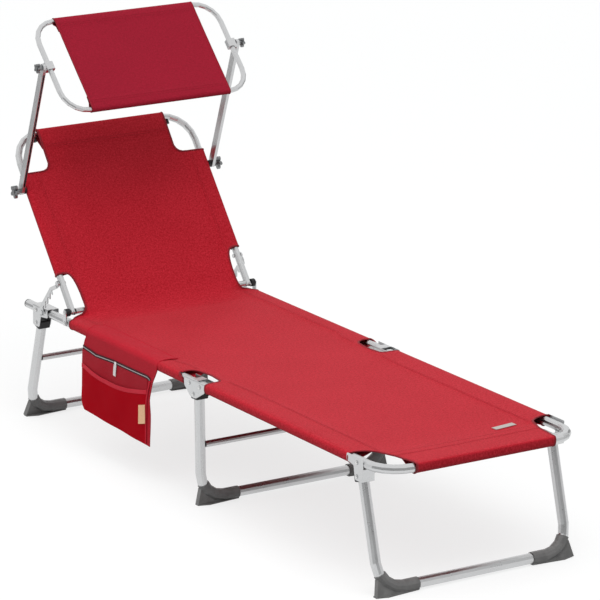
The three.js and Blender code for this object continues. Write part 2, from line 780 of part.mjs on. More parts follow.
function strutBolt(side) {
  const face = backHalf + backRadius + fit * 2 + strutThickness + fit;
  const inner = backHalf - backRadius - fit;
  const place = [strutPivotPlace, -strutPivotDrop];
  return join(crossRod(pin / 2, ...place, side * (inner - pinHeadHeight), side * (face + pinHeadHeight)),
    crossRod(strutBoltHead / 2, ...place, side * face, side * (face + pinHeadHeight), tubeSides),
    crossRod(pinHead / 2, ...place, side * (inner - pinHeadHeight), side * inner));
}

function armSpacer(side) {
  const near = side * (backHalf + backSleeve + fit);
  const far = side * (armInnerFace - fit);
  return cut(crossRod(spacerDiameter / 2, armPlace, 0, near, far),
    crossRod(knobStud / 2 + fit, armPlace, 0, near - side * overrun, far + side * overrun));
}

piece(back, 'back_frame_tube', finishes.aluminium, backFrame());
piece(back, 'back_cross_tube', finishes.aluminium, backCrossTube());
const strutPivot = group(back, [0, strutPivotPlace, -strutPivotDrop], -strutAngle - backAngle);
sides.forEach(([word, side]) => {
  piece(back, `back_buffer_${word}`, finishes.blackPlastic, backBuffer(side));
  piece(strutPivot, `ratchet_strut_${word}`, finishes.steel, strut(side));
  piece(back, `strut_bolt_${word}`, finishes.steel, strutBolt(side));
  piece(back, `arm_spacer_${word}`, finishes.blackPlastic, armSpacer(side));
});

// Canopy arms: the same slotted bar turned round on the other side, with a star knob at each pivot
const arms = group(back, [0, armPlace, 0], armAngle - backAngle);

function canopyArm(side) {
  const radius = armWidth / 2;
  const shape = new THREE.Shape();
  shape.absarc(0, 0, radius, Math.PI / 2, Math.PI * 1.5, false);
  shape.absarc(armLength, 0, radius, -Math.PI / 2, Math.PI / 2, false);
  const body = sidePrism(shape, ...span(side, armInnerFace, armOuterFace));
  const slotSpan = span(side, armHalf - armSlot / 2, armHalf + armSlot / 2);
  const edge = [side * (armSlotDepth - radius), -side * (radius + overrun)].sort((a, b) => a - b);
  const hole = (y) => crossRod(knobStud / 2 + fit, y, 0,
    side * (armInnerFace - overrun), side * (armOuterFace + overrun));
  return cut(body, block([slotSpan[0], armEnd, edge[0]], [slotSpan[1], armLength - armEnd, edge[1]]),
    hole(0), hole(armLength));
}

function starKnob(side, place, diameter, standoff, studEnd) {
  const near = armOuterFace + fit + standoff;
  const far = near + knobThickness;
  const steps = knobLobes * lobeSteps;
  const points = Array.from({ length: steps }, (_, index) => {
    const angle = turn * index / steps;
    const reach = diameter / 2 * (1 - lobeShare + lobeShare * Math.abs(Math.cos(angle * knobLobes / 2)));
    return [place + reach * Math.cos(angle), reach * Math.sin(angle)];
  });
  return join(sidePrism(outline(points), ...span(side, near, far)),
    crossRod(knobHub / 2, place, 0, side * (armOuterFace + fit), side * (far + pinHeadHeight)),
    crossRod(knobStud / 2, place, 0, side * studEnd, side * near));
}

const lowerStudEnd = backHalf;
const upperStudEnd = canopyHalf + canopyTube / 2 + fit * 3;

sides.forEach(([word, side]) => {
  piece(arms, `canopy_arm_${word}`, finishes.aluminium, canopyArm(side));
  piece(arms, `lower_knob_${word}`, finishes.knobMetal,
    starKnob(side, 0, lowerKnob, lowerKnobStandoff, lowerStudEnd));
  piece(arms, `upper_knob_${word}`, finishes.knobMetal,
    starKnob(side, armLength, upperKnob, upperKnobStandoff, upperStudEnd));
});

// Canopy: a bent loop whose two ends meet in the cloth's front sleeve, held by a clamp on each side
const canopy = group(arms, [0, armLength, 0], canopyAngle - armAngle);

function canopyLoop() {
  const front = -canopyFront;
  return tube([[loopButtGap / 2, front, 0], [canopyHalf, front, 0], [canopyHalf, canopyBack, 0],
    [-canopyHalf, canopyBack, 0], [-canopyHalf, front, 0], [-loopButtGap / 2, front, 0]],
  canopyTube, canopyBend);
}

function loopClamp(side) {
  const [low, high] = span(side, canopyHalf - clampHalf, armInnerFace - fit);
  const half = clampHeight / 2;
  const shape = roundedOutline([[low, -half, sheetBend], [high, -half, sheetBend], [high, half, sheetBend],
    [low, half, sheetBend]]);
  return cut(endPrism(shape, -clampHalf, clampHalf, 2),
    rod(canopyTube / 2 + clampFit, [side * canopyHalf, -clampHalf - overrun, 0],
      [side * canopyHalf, clampHalf + overrun, 0], tubeSides),
    crossRod(knobStud / 2 + fit, 0, 0, side * (upperStudEnd - fit), side * (armInnerFace + overrun)));
}

piece(canopy, 'canopy_loop_tube', finishes.aluminium, canopyLoop());
sides.forEach(([word, side]) => piece(canopy, `loop_clamp_${word}`, finishes.greyPlastic, loopClamp(side)));

// Cloth: a thin sagging panel across the frame with a sleeve along each tube, cut to shape in plan
function panel(half, level, sag, from, to) {
  const top = Array.from({ length: panelSteps + 1 }, (_, step) => {
    const share = step / panelSteps * 2 - 1;
    return [share * half, level - sag * (1 - share * share)];
  });
  const under = top.map(([across, height]) => [across, height - cloth]).reverse();
  return endPrism(outline([...top, ...under]), from, to);
}

function bothSides(points, low, high) {
  return sides.map(([, side]) => planPrism(outline(points.map(([x, y]) => [side * x, y])), low, high));
}

const sideRods = (radius, half, from, to, height) =>
  sides.map(([, side]) => rod(radius, [side * half, from, height], [side * half, to, height], tubeSides));
const endRod = (radius, half, place, height) =>
  rod(radius, [-half, place, height], [half, place, height], tubeSides);

function waistCuts(start, end) {
  const past = railHalf + railTube;
  const lip = waistHalf + waistLip;
  const points = [[past, start], [lip, start + waistLip / 4],
    [waistHalf + waistLip / 4, start + waistLip], [waistHalf, hingeCentre - waistLip / 2],
    [waistHalf, hingeCentre + waistLip], [waistHalf + waistLip / 2, end - waistLip / 2],
    [lip + waistLip / 4, end], [railHalf, end - waistLip / 4],
    [railHalf + railSleeve + cloth, end - waistLip], [past, end - waistLip]];
  return bothSides(points, railHeight - railTube, railHeight + railTube);
}

function footCloth() {
  const past = railHalf + railTube;
  const corner = [[footEdgeHalf, -railTube], [footEdgeHalf, 0],
    [footEdgeHalf + waistLip, footCornerLength - waistLip * 2],
    [footCornerHalf, footCornerLength - waistLip / 2], [footCornerHalf + waistLip, footCornerLength],
    [past, footCornerLength], [past, -railTube]];
  return cut(
    join(panel(railHalf, railPanel, seatSag, 0, hingeCentre - foldGap / 2),
      endRod(railSleeve, footEdgeHalf + overrun, 0, railHeight),
      ...sideRods(railSleeve, railHalf, footCornerLength - overrun, waistStart, railHeight)),
    endRod(railRadius + sleeveSlack, railHalf, 0, railHeight),
    ...sideRods(railRadius + sleeveSlack, railHalf, -railTube, hingeCentre, railHeight),
    ...bothSides(corner, railHeight - railTube, railHeight + railTube),
    ...waistCuts(waistStart, waistEnd));
}

function seatCloth() {
  const past = railHalf + railTube;
  const hip = [[past, seatSleeveEnd], [railHalf, seatSleeveEnd], [hipHalf + waistLip, seatPanelEnd + overrun],
    [past, seatPanelEnd + overrun]];
  return cut(
    join(panel(railHalf, railPanel, seatSag, hingeCentre + foldGap / 2, seatPanelEnd),
      ...sideRods(railSleeve, railHalf, waistEnd - waistLip, seatSleeveEnd, railHeight)),
    ...sideRods(railRadius + sleeveSlack, railHalf, hingeCentre, seatPanelEnd + overrun, railHeight),
    ...bothSides(hip, railHeight - railTube, railHeight + railTube),
    ...waistCuts(waistStart, waistEnd));
}

function backCloth() {
  const past = backHalf + backTube;
  const top = backLength + backTube;
  const hip = [[hipHalf, 0], [hipHalf, hipLength / 2], [hipHalf + waistLip / 2, hipLength - waistLip / 2],
    [hipHalf + waistLip, hipLength], [past, hipLength], [past, 0]];
  const shoulder = [[shoulderHalf, top], [shoulderHalf, shoulderPlace + shoulderCorner],
    [shoulderHalf + shoulderCorner / 3, shoulderPlace + shoulderCorner / 3],
    [shoulderHalf + shoulderCorner, shoulderPlace], [past, shoulderPlace], [past, top]];
  return cut(
    join(panel(backHalf, backRadius * panelRiseShare, backSag, backPanelStart, backLength),
      endRod(backSleeve, shoulderHalf + overrun, backLength, 0),
      ...sideRods(backSleeve, backHalf, hipLength, shoulderPlace, 0)),
    endRod(backRadius + sleeveSlack, backHalf, backLength, 0),
    ...sideRods(backRadius + sleeveSlack, backHalf, 0, shoulderPlace + overrun, 0),
    ...bothSides(hip, -backTube, backTube), ...bothSides(shoulder, -backTube * 2, backTube * 2),
    ...sides.map(([, side]) => wallHole(armPlace, 0, side, backHalf, knobStud / 2 + fit)));
}

function canopyCloth() {
  return cut(
    join(panel(canopyClothHalf, canopyTube / 2 * panelRiseShare, canopySag, -canopyFront, canopyBack),
      endRod(canopySleeve, canopyClothHalf, -canopyFront, 0),
      endRod(canopySleeve, canopyClothHalf, canopyBack, 0)),
    endRod(canopyTube / 2 + sleeveSlack, canopyClothHalf + overrun, -canopyFront, 0),
    endRod(canopyTube / 2 + sleeveSlack, canopyClothHalf + overrun, canopyBack, 0));
}

piece(lounger, 'foot_cloth', finishes.redCloth, footCloth());
piece(lounger, 'seat_cloth', finishes.redCloth, seatCloth());
piece(back, 'back_cloth', finishes.redCloth, backCloth());
piece(canopy, 'canopy_cloth', finishes.redCloth, canopyCloth());

// Organiser: a cloth over the left rail that hangs outside it, with a padded zip pocket and an open pouch
function organiser() {
  const over = railSleeve + fit;
  const arc = (radius, from, to, steps) => Array.from({ length: steps + 1 }, (_, step) => {
    const angle = from + (to - from) * step / steps;
    return [-railHalf + radius * Math.cos(angle), railHeight + radius * Math.sin(angle)];
  });
  const outer = over + pocketCloth;
  const inside = -railHalf - over;
  const outside = -railHalf - outer;
  const flapIn = [-pocketFlapHalf, railPanel + fit];
  const flapOut = [-pocketFlapHalf, railPanel + fit + pocketCloth];
  const sheetShape = outline([flapIn, ...arc(over, turn / 6, turn / 2, panelSteps), [inside, 0],
    [outside, 0], ...arc(outer, turn / 2, turn / 6, panelSteps), flapOut]);
  const low = pocketBottom;
  const front = outside - pouchDepth;
  const toe = outside - pouchDepth * pouchFootShare;
  const pouch = outline([[inside, low], [toe, low], [front, low + pocketCorner],
    [front + pocketCloth, pouchTopAtFoot], [inside, pouchTopAtFoot]]);
  const hollow = outline([[outside, low + pouchSeam], [toe + pocketCloth, low + pouchSeam],
    [front + pocketCloth, low + pocketCorner], [front + pocketCloth * 2, pouchTopAtFoot * 2],
    [outside, pouchTopAtFoot * 2]]);
  const pad = outline([[inside, pouchTop], [outside - zipPadDepth, pouchTopAtFoot],
    [outside - zipPadDepth, zipTop], [inside, zipTop + pouchSeam]]);
  const from = pocketFlapFoot - overrun;
  const to = pocketHead + overrun;
  const side = roundedOutline([
    [pocketFlapFoot, railHeight + railTube], [pocketFlapFoot, railHeight],
    [pocketFoot - pouchSeam, pocketShoulder], [pocketFoot, low],
    [pocketHead, low + pocketRise, pocketCorner], [pocketHead, pocketShoulder],
    [pocketFlapHead, railHeight], [pocketFlapHead, railHeight + railTube]]);
  const mouthLine = outline([[from, pouchTopAtFoot], [(from + to) / 2, pouchTop - pocketCloth],
    [to, pouchTop], [to, pouchTopAtFoot * 2], [from, pouchTopAtFoot * 2]]);
  const mouth = sidePrism(mouthLine, inside * 2, outside - zipPadDepth);
  const inner = roundedOutline([[pocketFoot + pouchSeam, low + pouchSeam],
    [pocketHead - pouchSeam, low + pocketRise + pouchSeam, pocketCorner],
    [pocketHead - pouchSeam, railHeight], [pocketFoot + pouchSeam, railHeight]]);
  const space = endPrism(hollow, pocketFoot, pocketHead).intersect(sidePrism(inner, inside * 2, 0));
  const pouchBody = cut(endPrism(pouch, pocketFoot - pouchSeam, pocketHead), space, mouth);
  const padBody = endPrism(pad, pocketFoot - pouchSeam, pocketHead);
  return join(endPrism(sheetShape, from, to), padBody, pouchBody)
    .intersect(sidePrism(side, inside * 2, 0));
}

piece(lounger, 'organiser', finishes.redCloth, organiser());

const extent = new THREE.Box3().setFromObject(lounger, true);
lounger.position.y = -(extent.min.y + extent.max.y) / 2;

export default lounger;
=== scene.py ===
import math

import bmesh
import bpy
from mathutils import Matrix, Vector


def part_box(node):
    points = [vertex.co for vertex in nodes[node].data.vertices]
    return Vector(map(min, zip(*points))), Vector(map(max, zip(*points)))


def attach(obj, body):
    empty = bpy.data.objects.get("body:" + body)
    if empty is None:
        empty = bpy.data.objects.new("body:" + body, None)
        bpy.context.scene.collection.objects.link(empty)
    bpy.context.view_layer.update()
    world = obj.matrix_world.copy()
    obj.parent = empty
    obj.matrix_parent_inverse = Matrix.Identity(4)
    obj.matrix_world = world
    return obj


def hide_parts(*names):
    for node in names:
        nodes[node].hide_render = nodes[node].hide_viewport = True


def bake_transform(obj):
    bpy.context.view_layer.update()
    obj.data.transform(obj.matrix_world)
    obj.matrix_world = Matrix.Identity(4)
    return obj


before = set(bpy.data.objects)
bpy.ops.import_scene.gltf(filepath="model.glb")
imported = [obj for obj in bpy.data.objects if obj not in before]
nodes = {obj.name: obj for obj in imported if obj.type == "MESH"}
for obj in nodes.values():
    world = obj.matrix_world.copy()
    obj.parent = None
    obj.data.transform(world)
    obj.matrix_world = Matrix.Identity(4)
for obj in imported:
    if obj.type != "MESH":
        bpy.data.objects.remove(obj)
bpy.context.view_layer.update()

scene = bpy.context.scene

# Lengths are millimetres unless a comment says otherwise. Lengthwise places are measured from the centre of the
# foot bar, and the CAD's own frame is in metres.
MM = 1000
RAIL = 11.0
BAR_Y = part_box("foot_frame_tube")[0].y * MM + RAIL
RAIL_X = 264.0
RAIL_Z = 298.0
BACK_X = 256.0
HINGE_Y = 1396.0
HINGE_Z = 324.5
BACK_TILT = math.radians(51.6)
CANOPY_Y = 1490.3
CANOPY_Z = 926.1
CANOPY_TILT = math.radians(45.3)

# The cloth: its thickness, and its radius round each kind of tube
CLOTH = 1.1
RAIL_SLEEVE = 12.2
BACK_SLEEVE = 9.7
CANOPY_SLEEVE = 7.6


def place(x, y, z):
    """A point in the CAD's frame."""
    return Vector((x, y + BAR_Y, z)) / MM


def on_back(x, s, n):
    """A point in the back's own axes: s up along it, n along its front normal."""
    c, w = math.cos(BACK_TILT), math.sin(BACK_TILT)
    return place(x, HINGE_Y + s * c - n * w, HINGE_Z + s * w + n * c)


def on_canopy(x, s, n):
    """A point in the canopy's own axes, measured from its pivots."""
    c, w = math.cos(CANOPY_TILT), math.sin(CANOPY_TILT)
    return place(x, CANOPY_Y + s * c - n * w, CANOPY_Z + s * w + n * c)


def ease(value, start, end):
    """A smooth rise from 0 at the start to 1 at the end."""
    t = min(1.0, max(0.0, (value - start) / (end - start)))
    return t * t * (3 - 2 * t)


def between(table, at):
    """Straight-line reading of a table of (place, value) rows."""
    if at <= table[0][0]:
        return table[0][1]
    for (a, va), (b, vb) in zip(table, table[1:]):
        if at <= b:
            return va + (vb - va) * (at - a) / (b - a)
    return table[-1][1]


def steps(start, end, size):
    """Evenly spaced places from start to end, no wider apart than the size."""
    count = max(1, math.ceil(abs(end - start) / size - 1e-6))
    return [start + (end - start) * i / count for i in range(count + 1)]


def linked(name, data):
    """A new object in the scene."""
    made = bpy.data.objects.new(name, data)
    scene.collection.objects.link(made)
    return made


# Materials, in metres
def new_material(name, **values):
    material = bpy.data.materials.new(name)
    material.use_nodes = True
    shader = material.node_tree.nodes["Principled BSDF"]
    for socket, value in values.items():
        shader.inputs[socket.replace("_", " ")].default_value = value
    return material, material.node_tree, shader


def add(tree, kind, inputs=None, **settings):
    node = tree.nodes.new(kind)
    for key, value in settings.items():
        setattr(node, key, value)
    for key, value in (inputs or {}).items():
        if isinstance(value, bpy.types.NodeSocket):
            tree.links.new(value, node.inputs[key])
        else:
            node.inputs[key].default_value = value
    return node


def maths(tree, operation, a, b=None):
    inputs = {0: a} if b is None else {0: a, 1: b}
    return add(tree, "ShaderNodeMath", inputs, operation=operation).outputs[0]


def noise(tree, vector, scale, detail):
    return add(tree, "ShaderNodeTexNoise", {"Vector": vector, "Scale": scale, "Detail": detail}).outputs[0]


def mixed(tree, share, low, high):
    """A colour between two others."""
    node = add(tree, "ShaderNodeMix", data_type="RGBA")
    for index, value in ((0, share), (6, low), (7, high)):
        if isinstance(value, bpy.types.NodeSocket):
            tree.links.new(value, node.inputs[index])
        else:
            node.inputs[index].default_value = value
    return node.outputs[2]


def ramp(tree, value, low, high):
    """The value's place between low and high, from 0 to 1."""
    node = add(tree, "ShaderNodeMapRange", {0: value, 1: low, 2: high})
    return node.outputs[0]


def bumped(tree, shader, height, distance, strength=1.0):
    node = add(tree, "ShaderNodeBump", {"Height": height, "Distance": distance, "Strength": strength})
    tree.links.new(node.outputs[0], shader.inputs["Normal"])


# How much each pattern weighs in the tone of the cloth
GRAIN, KNOTS, CLOUD, WEAVE = 0.9, 0.5, 0.16, 0.06


def woven(name, dark, light, thread=0.0009, slub=0.3, shine=0.2, fuzz=0.05, spread=0.3):
    """Plain-weave cloth: threads over and under, uneven yarn, faint cloudiness."""
    material, tree, shader = new_material(name, Roughness=0.78, Specular_IOR_Level=shine, Sheen_Weight=fuzz,
                                          Sheen_Roughness=0.5)
    uv = add(tree, "ShaderNodeUVMap", uv_map="cloth").outputs[0]
    split = add(tree, "ShaderNodeSeparateXYZ", {0: uv})
    turns = math.pi / thread
    across = maths(tree, "SINE", maths(tree, "MULTIPLY", split.outputs[0], turns))
    along = maths(tree, "SINE", maths(tree, "MULTIPLY", split.outputs[1], turns))
    threads = maths(tree, "MULTIPLY", across, along)
    yarn_a = add(tree, "ShaderNodeMapping", {0: uv, 3: (900, 60, 1)}).outputs[0]
    yarn_b = add(tree, "ShaderNodeMapping", {0: uv, 3: (60, 900, 1)}).outputs[0]
    streak_a = noise(tree, yarn_a, 1.0, 2.0)
    streak_b = noise(tree, yarn_b, 1.0, 2.0)
    grain = noise(tree, uv, 330.0, 3.0)
    cloud = noise(tree, uv, 7.0, 3.0)
    yarn = maths(tree, "ADD", streak_a, streak_b)
    knots = noise(tree, uv, 170.0, 2.0)
    tone = maths(tree, "MULTIPLY", yarn, slub)
    for pattern, weight in ((grain, GRAIN), (cloud, CLOUD), (threads, WEAVE), (knots, KNOTS)):
        tone = maths(tree, "ADD", tone, maths(tree, "MULTIPLY", pattern, weight))
    middle = slub + (GRAIN + CLOUD + KNOTS) / 2
    share = ramp(tree, tone, middle - spread, middle + spread)
    tree.links.new(mixed(tree, share, (*dark, 1), (*light, 1)), shader.inputs["Base Color"])
    height = maths(tree, "ADD", maths(tree, "MULTIPLY", threads, 0.5), maths(tree, "MULTIPLY", grain, 1.2))
    bumped(tree, shader, height, 0.00025, 0.6)
    return material


def netted(name, colour, mesh=0.0026, open_share=0.22):
    """Knitted net: crossing threads with see-through holes between them."""
    material, tree, shader = new_material(name, Roughness=0.7, Specular_IOR_Level=0.05, Base_Color=(*colour, 1))
    split = add(tree, "ShaderNodeSeparateXYZ", {0: add(tree, "ShaderNodeUVMap", uv_map="cloth").outputs[0]})
    lean = maths(tree, "ADD", split.outputs[0], split.outputs[1])
    counter = maths(tree, "SUBTRACT", split.outputs[0], split.outputs[1])
    waves = [maths(tree, "ABSOLUTE", maths(tree, "SINE", maths(tree, "MULTIPLY", way, math.pi / mesh)))
             for way in (lean, counter)]
    filled = maths(tree, "LESS_THAN", maths(tree, "MULTIPLY", *waves), 1 - open_share)
    tree.links.new(filled, shader.inputs["Alpha"])
    return material


def brushed(name, dark, light, roughness, scale=(260, 260, 260), scratch=0.02):
    """Satin metal: fine drawn lines, soft cloudiness and a little wear."""
    material, tree, shader = new_material(name, Metallic=1.0)
    spot = add(tree, "ShaderNodeTexCoord").outputs["Object"]
    fine = add(tree, "ShaderNodeMapping", {0: spot, 3: scale}).outputs[0]
    lines = noise(tree, fine, 1.0, 4.0)
    cloud = noise(tree, spot, 14.0, 2.0)
    tone = maths(tree, "ADD", maths(tree, "MULTIPLY", lines, 0.5), maths(tree, "MULTIPLY", cloud, 0.5))
    tree.links.new(mixed(tree, ramp(tree, tone, 0.35, 0.65), (*dark, 1), (*light, 1)), shader.inputs["Base Color"])
    rough = add(tree, "ShaderNodeMapRange", {0: tone, 1: 0.3, 2: 0.7, 3: roughness - 0.05, 4: roughness + 0.07})
    tree.links.new(rough.outputs[0], shader.inputs["Roughness"])
    bumped(tree, shader, lines, 0.00008, scratch)
    return material


def moulded(name, dark, light, roughness):
    """Moulded plastic with a fine spark-eroded grain and lighter scuffs."""
    material, tree, shader = new_material(name, Specular_IOR_Level=0.4)
    spot = add(tree, "ShaderNodeTexCoord").outputs["Object"]
    grain = noise(tree, spot, 900.0, 3.0)
    scuff = noise(tree, spot, 45.0, 5.0)
    share = ramp(tree, maths(tree, "ADD", maths(tree, "MULTIPLY", grain, 0.4), scuff), 0.5, 0.95)
    tree.links.new(mixed(tree, share, (*dark, 1), (*light, 1)), shader.inputs["Base Color"])
    rough = add(tree, "ShaderNodeMapRange", {0: scuff, 1: 0.3, 2: 0.7, 3: roughness - 0.08, 4: roughness + 0.08})
    tree.links.new(rough.outputs[0], shader.inputs["Roughness"])
    bumped(tree, shader, grain, 0.0001, 0.4)
    return material


# The red cloth's light end is pinker: besides the yarn's own uneven tone, its light specks are painted sheen
red_cloth = woven("red_cloth", (0.34, 0.001, 0.008), (0.55, 0.019, 0.036), spread=0.2)
shade_cloth = woven("shade_cloth", (0.23, 0.004, 0.016), (0.38, 0.008, 0.030))
pocket_cloth = woven("pocket_cloth", (0.36, 0.004, 0.014), (0.52, 0.009, 0.026), thread=0.0007)
zip_cloth = woven("zip_cloth", (0.28, 0.003, 0.011), (0.42, 0.006, 0.020), thread=0.0007)
# Lighter than the cloth it edges: the hem and piping cloth carries a painted highlight of their lit, rolled tops
hem_painted_highlight = woven("hem_painted_highlight", (0.50, 0.012, 0.028), (0.66, 0.03, 0.055), thread=0.0007)
# The binding's dark cloth is painted shade: the shaded cut edge of the sling and the canopy
binding_painted_shade = woven("binding_painted_shade", (0.17, 0.002, 0.008), (0.28, 0.004, 0.014), thread=0.0007, shine=0.5)
dark_tape = woven("dark_tape", (0.035, 0.006, 0.008), (0.08, 0.012, 0.018), thread=0.0007)
thread_red = woven("thread_red", (0.16, 0.002, 0.006), (0.26, 0.006, 0.012), thread=0.0003)
label_cloth = woven("label_cloth", (0.86, 0.50, 0.28), (0.95, 0.62, 0.38), thread=0.0005)
pouch_net = netted("pouch_net", (0.47, 0.002, 0.010))
tube_metal = brushed("tube_metal", (0.57, 0.575, 0.58), (0.63, 0.635, 0.64), 0.3)
arm_metal = brushed("arm_metal", (0.56, 0.565, 0.57), (0.64, 0.645, 0.65), 0.32, scale=(400, 400, 60))
steel = brushed("steel", (0.56, 0.565, 0.57), (0.63, 0.635, 0.64), 0.3, scratch=0.04)
bright_steel = brushed("bright_steel", (0.62, 0.62, 0.615), (0.74, 0.74, 0.735), 0.24)
tag_metal = brushed("tag_metal", (0.50, 0.46, 0.43), (0.60, 0.56, 0.53), 0.42, scale=(900, 90, 90), scratch=0.1)
knob_metal = brushed("knob_metal", (0.20, 0.205, 0.21), (0.30, 0.305, 0.31), 0.32)
grey_plastic = moulded("grey_plastic", (0.14, 0.139, 0.138), (0.21, 0.208, 0.206), 0.42)
black_plastic = moulded("black_plastic", (0.006, 0.006, 0.007), (0.018, 0.018, 0.019), 0.5)
pull_plastic = moulded("pull_plastic", (0.68, 0.67, 0.66), (0.82, 0.81, 0.80), 0.5)

# Finishes of the CAD's own pieces, with their sharp edges softened
ROUNDED = ("knob", "cap_", "plug", "bracket", "plate", "strut", "clamp", "canopy_arm", "bush")
SMOOTH = math.radians(38)
EDGE = 0.0005  # metres
for name, node in nodes.items():
    if "knob" in name:
        finish = knob_metal
    elif "arm_spacer" in name or "plug" in name or "bush" in name or "buffer" in name or "end_cap" in name:
        finish = black_plastic
    elif name.endswith(("cap_left", "cap_right")):
        finish = grey_plastic
    elif "bracket" in name or "plate" in name or "strut" in name:
        finish = steel
    elif "canopy_arm" in name:
        finish = arm_metal
    else:
        finish = tube_metal
    for index in range(len(node.material_slots)):
        node.material_slots[index].material = finish
    for polygon in node.data.polygons:
        polygon.use_smooth = True
    node.data.set_sharp_from_angle(angle=SMOOTH)
    if any(word in name for word in ROUNDED):
        soft = node.modifiers.new("soft_edges", "BEVEL")
        soft.width = EDGE
        soft.segments = 2
        soft.limit_method = "ANGLE"
        soft.angle_limit = SMOOTH
        soft.harden_normals = False


def grid(name, rows, material, thickness=CLOTH):
    """A sheet from rows of (point, u, v), with None where the cloth is cut away."""
    mesh = bpy.data.meshes.new(name)
    index, points, flat = {}, [], []
    for i, row in enumerate(rows):
        for j, entry in enumerate(row):
            if entry is not None:
                index[i, j] = len(points)
                points.append(entry[0])
                flat.append((entry[1] / MM, entry[2] / MM))
    faces = []
    for i in range(len(rows) - 1):
        for j in range(len(rows[i]) - 1):
            corners = [(i, j), (i, j + 1), (i + 1, j + 1), (i + 1, j)]
            if all(corner in index for corner in corners):
                faces.append([index[corner] for corner in corners])
    used = sorted({k for face in faces for k in face})
    renumber = {k: n for n, k in enumerate(used)}
    mesh.from_pydata([points[k] for k in used], [], [[renumber[k] for k in face] for face in faces])
    layer = mesh.uv_layers.new(name="cloth")
    for loop in mesh.loops:
        layer.data[loop.index].uv = flat[used[loop.vertex_index]]
    mesh.materials.append(material)
    piece = linked(name, mesh)
    if thickness:
        shell = piece.modifiers.new("thickness", "SOLIDIFY")
        shell.thickness = thickness / MM
        shell.offset = 0
        settle(piece)
    for polygon in piece.data.polygons:
        polygon.use_smooth = True
    piece.data.set_sharp_from_angle(angle=math.radians(50))
    return piece


def settle(piece):
    """Applies what the modifiers make, so that the mesh is final."""
    graph = bpy.context.evaluated_depsgraph_get()
    graph.update()
    made = bpy.data.meshes.new_from_object(piece.evaluated_get(graph), depsgraph=graph)
    piece.modifiers.clear()
    piece.data = made


# The sling runs from the foot bar to the top bar of the back, and p is the distance along it. It is cut away from the
# tubes at the foot's corners, the waist, the hip and the shoulders, and HALF is its half width.
CREASE = 1390.0
BACK_START = 1407.5
BACK_TOP = 486.0
TOP = BACK_START + BACK_TOP
FOOT_CUT = 131
WAIST_CUT = (740, 860)
HIP_CUT = (1375, 1507.5)
SHOULDER_CUT = 1786.5
FOOT_HALF = 190
TOP_HALF = 184.5
HALF = [(0, FOOT_HALF), (61, 199), (81, 206), (105, 214), (112, 218), (118, 224), (124, 233), (128, 245), (130, 255),
        (FOOT_CUT, RAIL_X), (WAIST_CUT[0], RAIL_X), (742, 254), (744, 240), (748, 231), (754, 227), (776, 224),
        (800, 222), (826, 225), (842, 228), (850, 232), (855, 238), (858, 246), (859.5, 255), (WAIST_CUT[1], RAIL_X),
        (HIP_CUT[0], RAIL_X), (1380, 262), (1386, 257), (1390, 248), (1392.5, 240), (1394, 234), (1400, 227),
        (1408, 223), (1420, 222), (1450.5, 222.5), (1472.5, 224.5), (1489.5, 228), (1497.5, 231.5), (1502.5, 235),
        (1505.5, 240), (1507, 247), (HIP_CUT[1], BACK_X), (SHOULDER_CUT, BACK_X), (1787, 240), (1787.5, 216),
        (1788.5, 203), (1792, 194), (1798, 188), (1807, TOP_HALF), (TOP, TOP_HALF)]
SLEEVES = [(FOOT_CUT, WAIST_CUT[0]), (WAIST_CUT[1], HIP_CUT[0]), (HIP_CUT[1], SHOULDER_CUT)]
FOOT_HEM = (88, 91)
TOP_HEM = (TOP - 48, TOP - 45)
SEAT_SAG = 6.5
BACK_SAG = 5.0
SECOND_LAYER = 0.65
SEAM = [(0, 200), (130, 202), (654, 204), (765, 213), (903, 216), (948, 229), (1380, 227), (1400, 217), (TOP, 217)]
# How the cloth turns up at the hip: distance, lengthwise place, rise and share of the seat's sag
TURN = [(1374, 1374, 0, 1), (1382, 1381.5, 0.3, 1), (1386, 1385, 1.8, 1), (1390, 1386.6, 4.8, 0.8),
        (1396, 1386.9, 9.6, 0.4), (1402, 1387.3, 15.3, 0), (1408, 1388.7, 20.7, 0)]
# Between the tubes the turn is one wide curve: its ends, the corner that it is drawn toward, and the half width over
# which it goes over into the turn at the tubes
CURVE = (1326.0, 1446.0)
HIP_CORNER = 1372.3
FREE_HALF = (190, 246)


def seat_sag(x, p):
    return SEAT_SAG * ease(p, -20, 160) * max(0.0, 1 - (x / RAIL_X) ** 2)


def back_sag(x, s):
    return BACK_SAG * ease(s, 12, 130) * ease(BACK_TOP - s, 0, 110) * max(0.0, 1 - (x / BACK_X) ** 2)


def inner(p):
    """Half width of the single cloth, out to its side seam, at least 8 inside its edge."""
    return min(between(SEAM, p), between(HALF, p) - 8)


def doubled(x, p):
    """How far the second layer of the sleeves and end hems lifts the surface."""
    side = ease(abs(x), inner(p), inner(p) + 2.5)
    foot = 1 - ease(p, *FOOT_HEM)
    top = ease(p, *TOP_HEM)
    return SECOND_LAYER * max(side, foot, top)


def back_place(p):
    return p - BACK_START


def taut(x, p):
    """The cloth that follows the tubes closely, as at its sleeves."""
    lift = doubled(x, p)
    if p <= TURN[0][0]:
        return place(x, p, RAIL_Z + RAIL_SLEEVE - seat_sag(x, p) + lift)
    if p >= TURN[-1][0]:
        s = back_place(p)
        return on_back(x, s, BACK_SLEEVE - back_sag(x, s) + lift)
    y, rise, share = (between([(row[0], row[k]) for row in TURN], p) for k in (1, 2, 3))
    return place(x, y, RAIL_Z + RAIL_SLEEVE + rise + lift - share * seat_sag(x, TURN[0][0]))


def sling(x, p):
    """Between the tubes the cloth turns up at the hip in one wide curve."""
    low, high = CURVE
    free = 1 - ease(abs(x), *FREE_HALF)
    if p <= low or p >= high or free <= 0:
        return taut(x, p)
    q = (p - low) / (high - low)
    corner = place(x, HIP_CORNER, RAIL_Z + RAIL_SLEEVE - seat_sag(x, low))
    wide = taut(x, low) * (1 - q) ** 2 + corner * (2 * q * (1 - q)) + taut(x, high) * q ** 2
    return taut(x, p).lerp(wide, free)


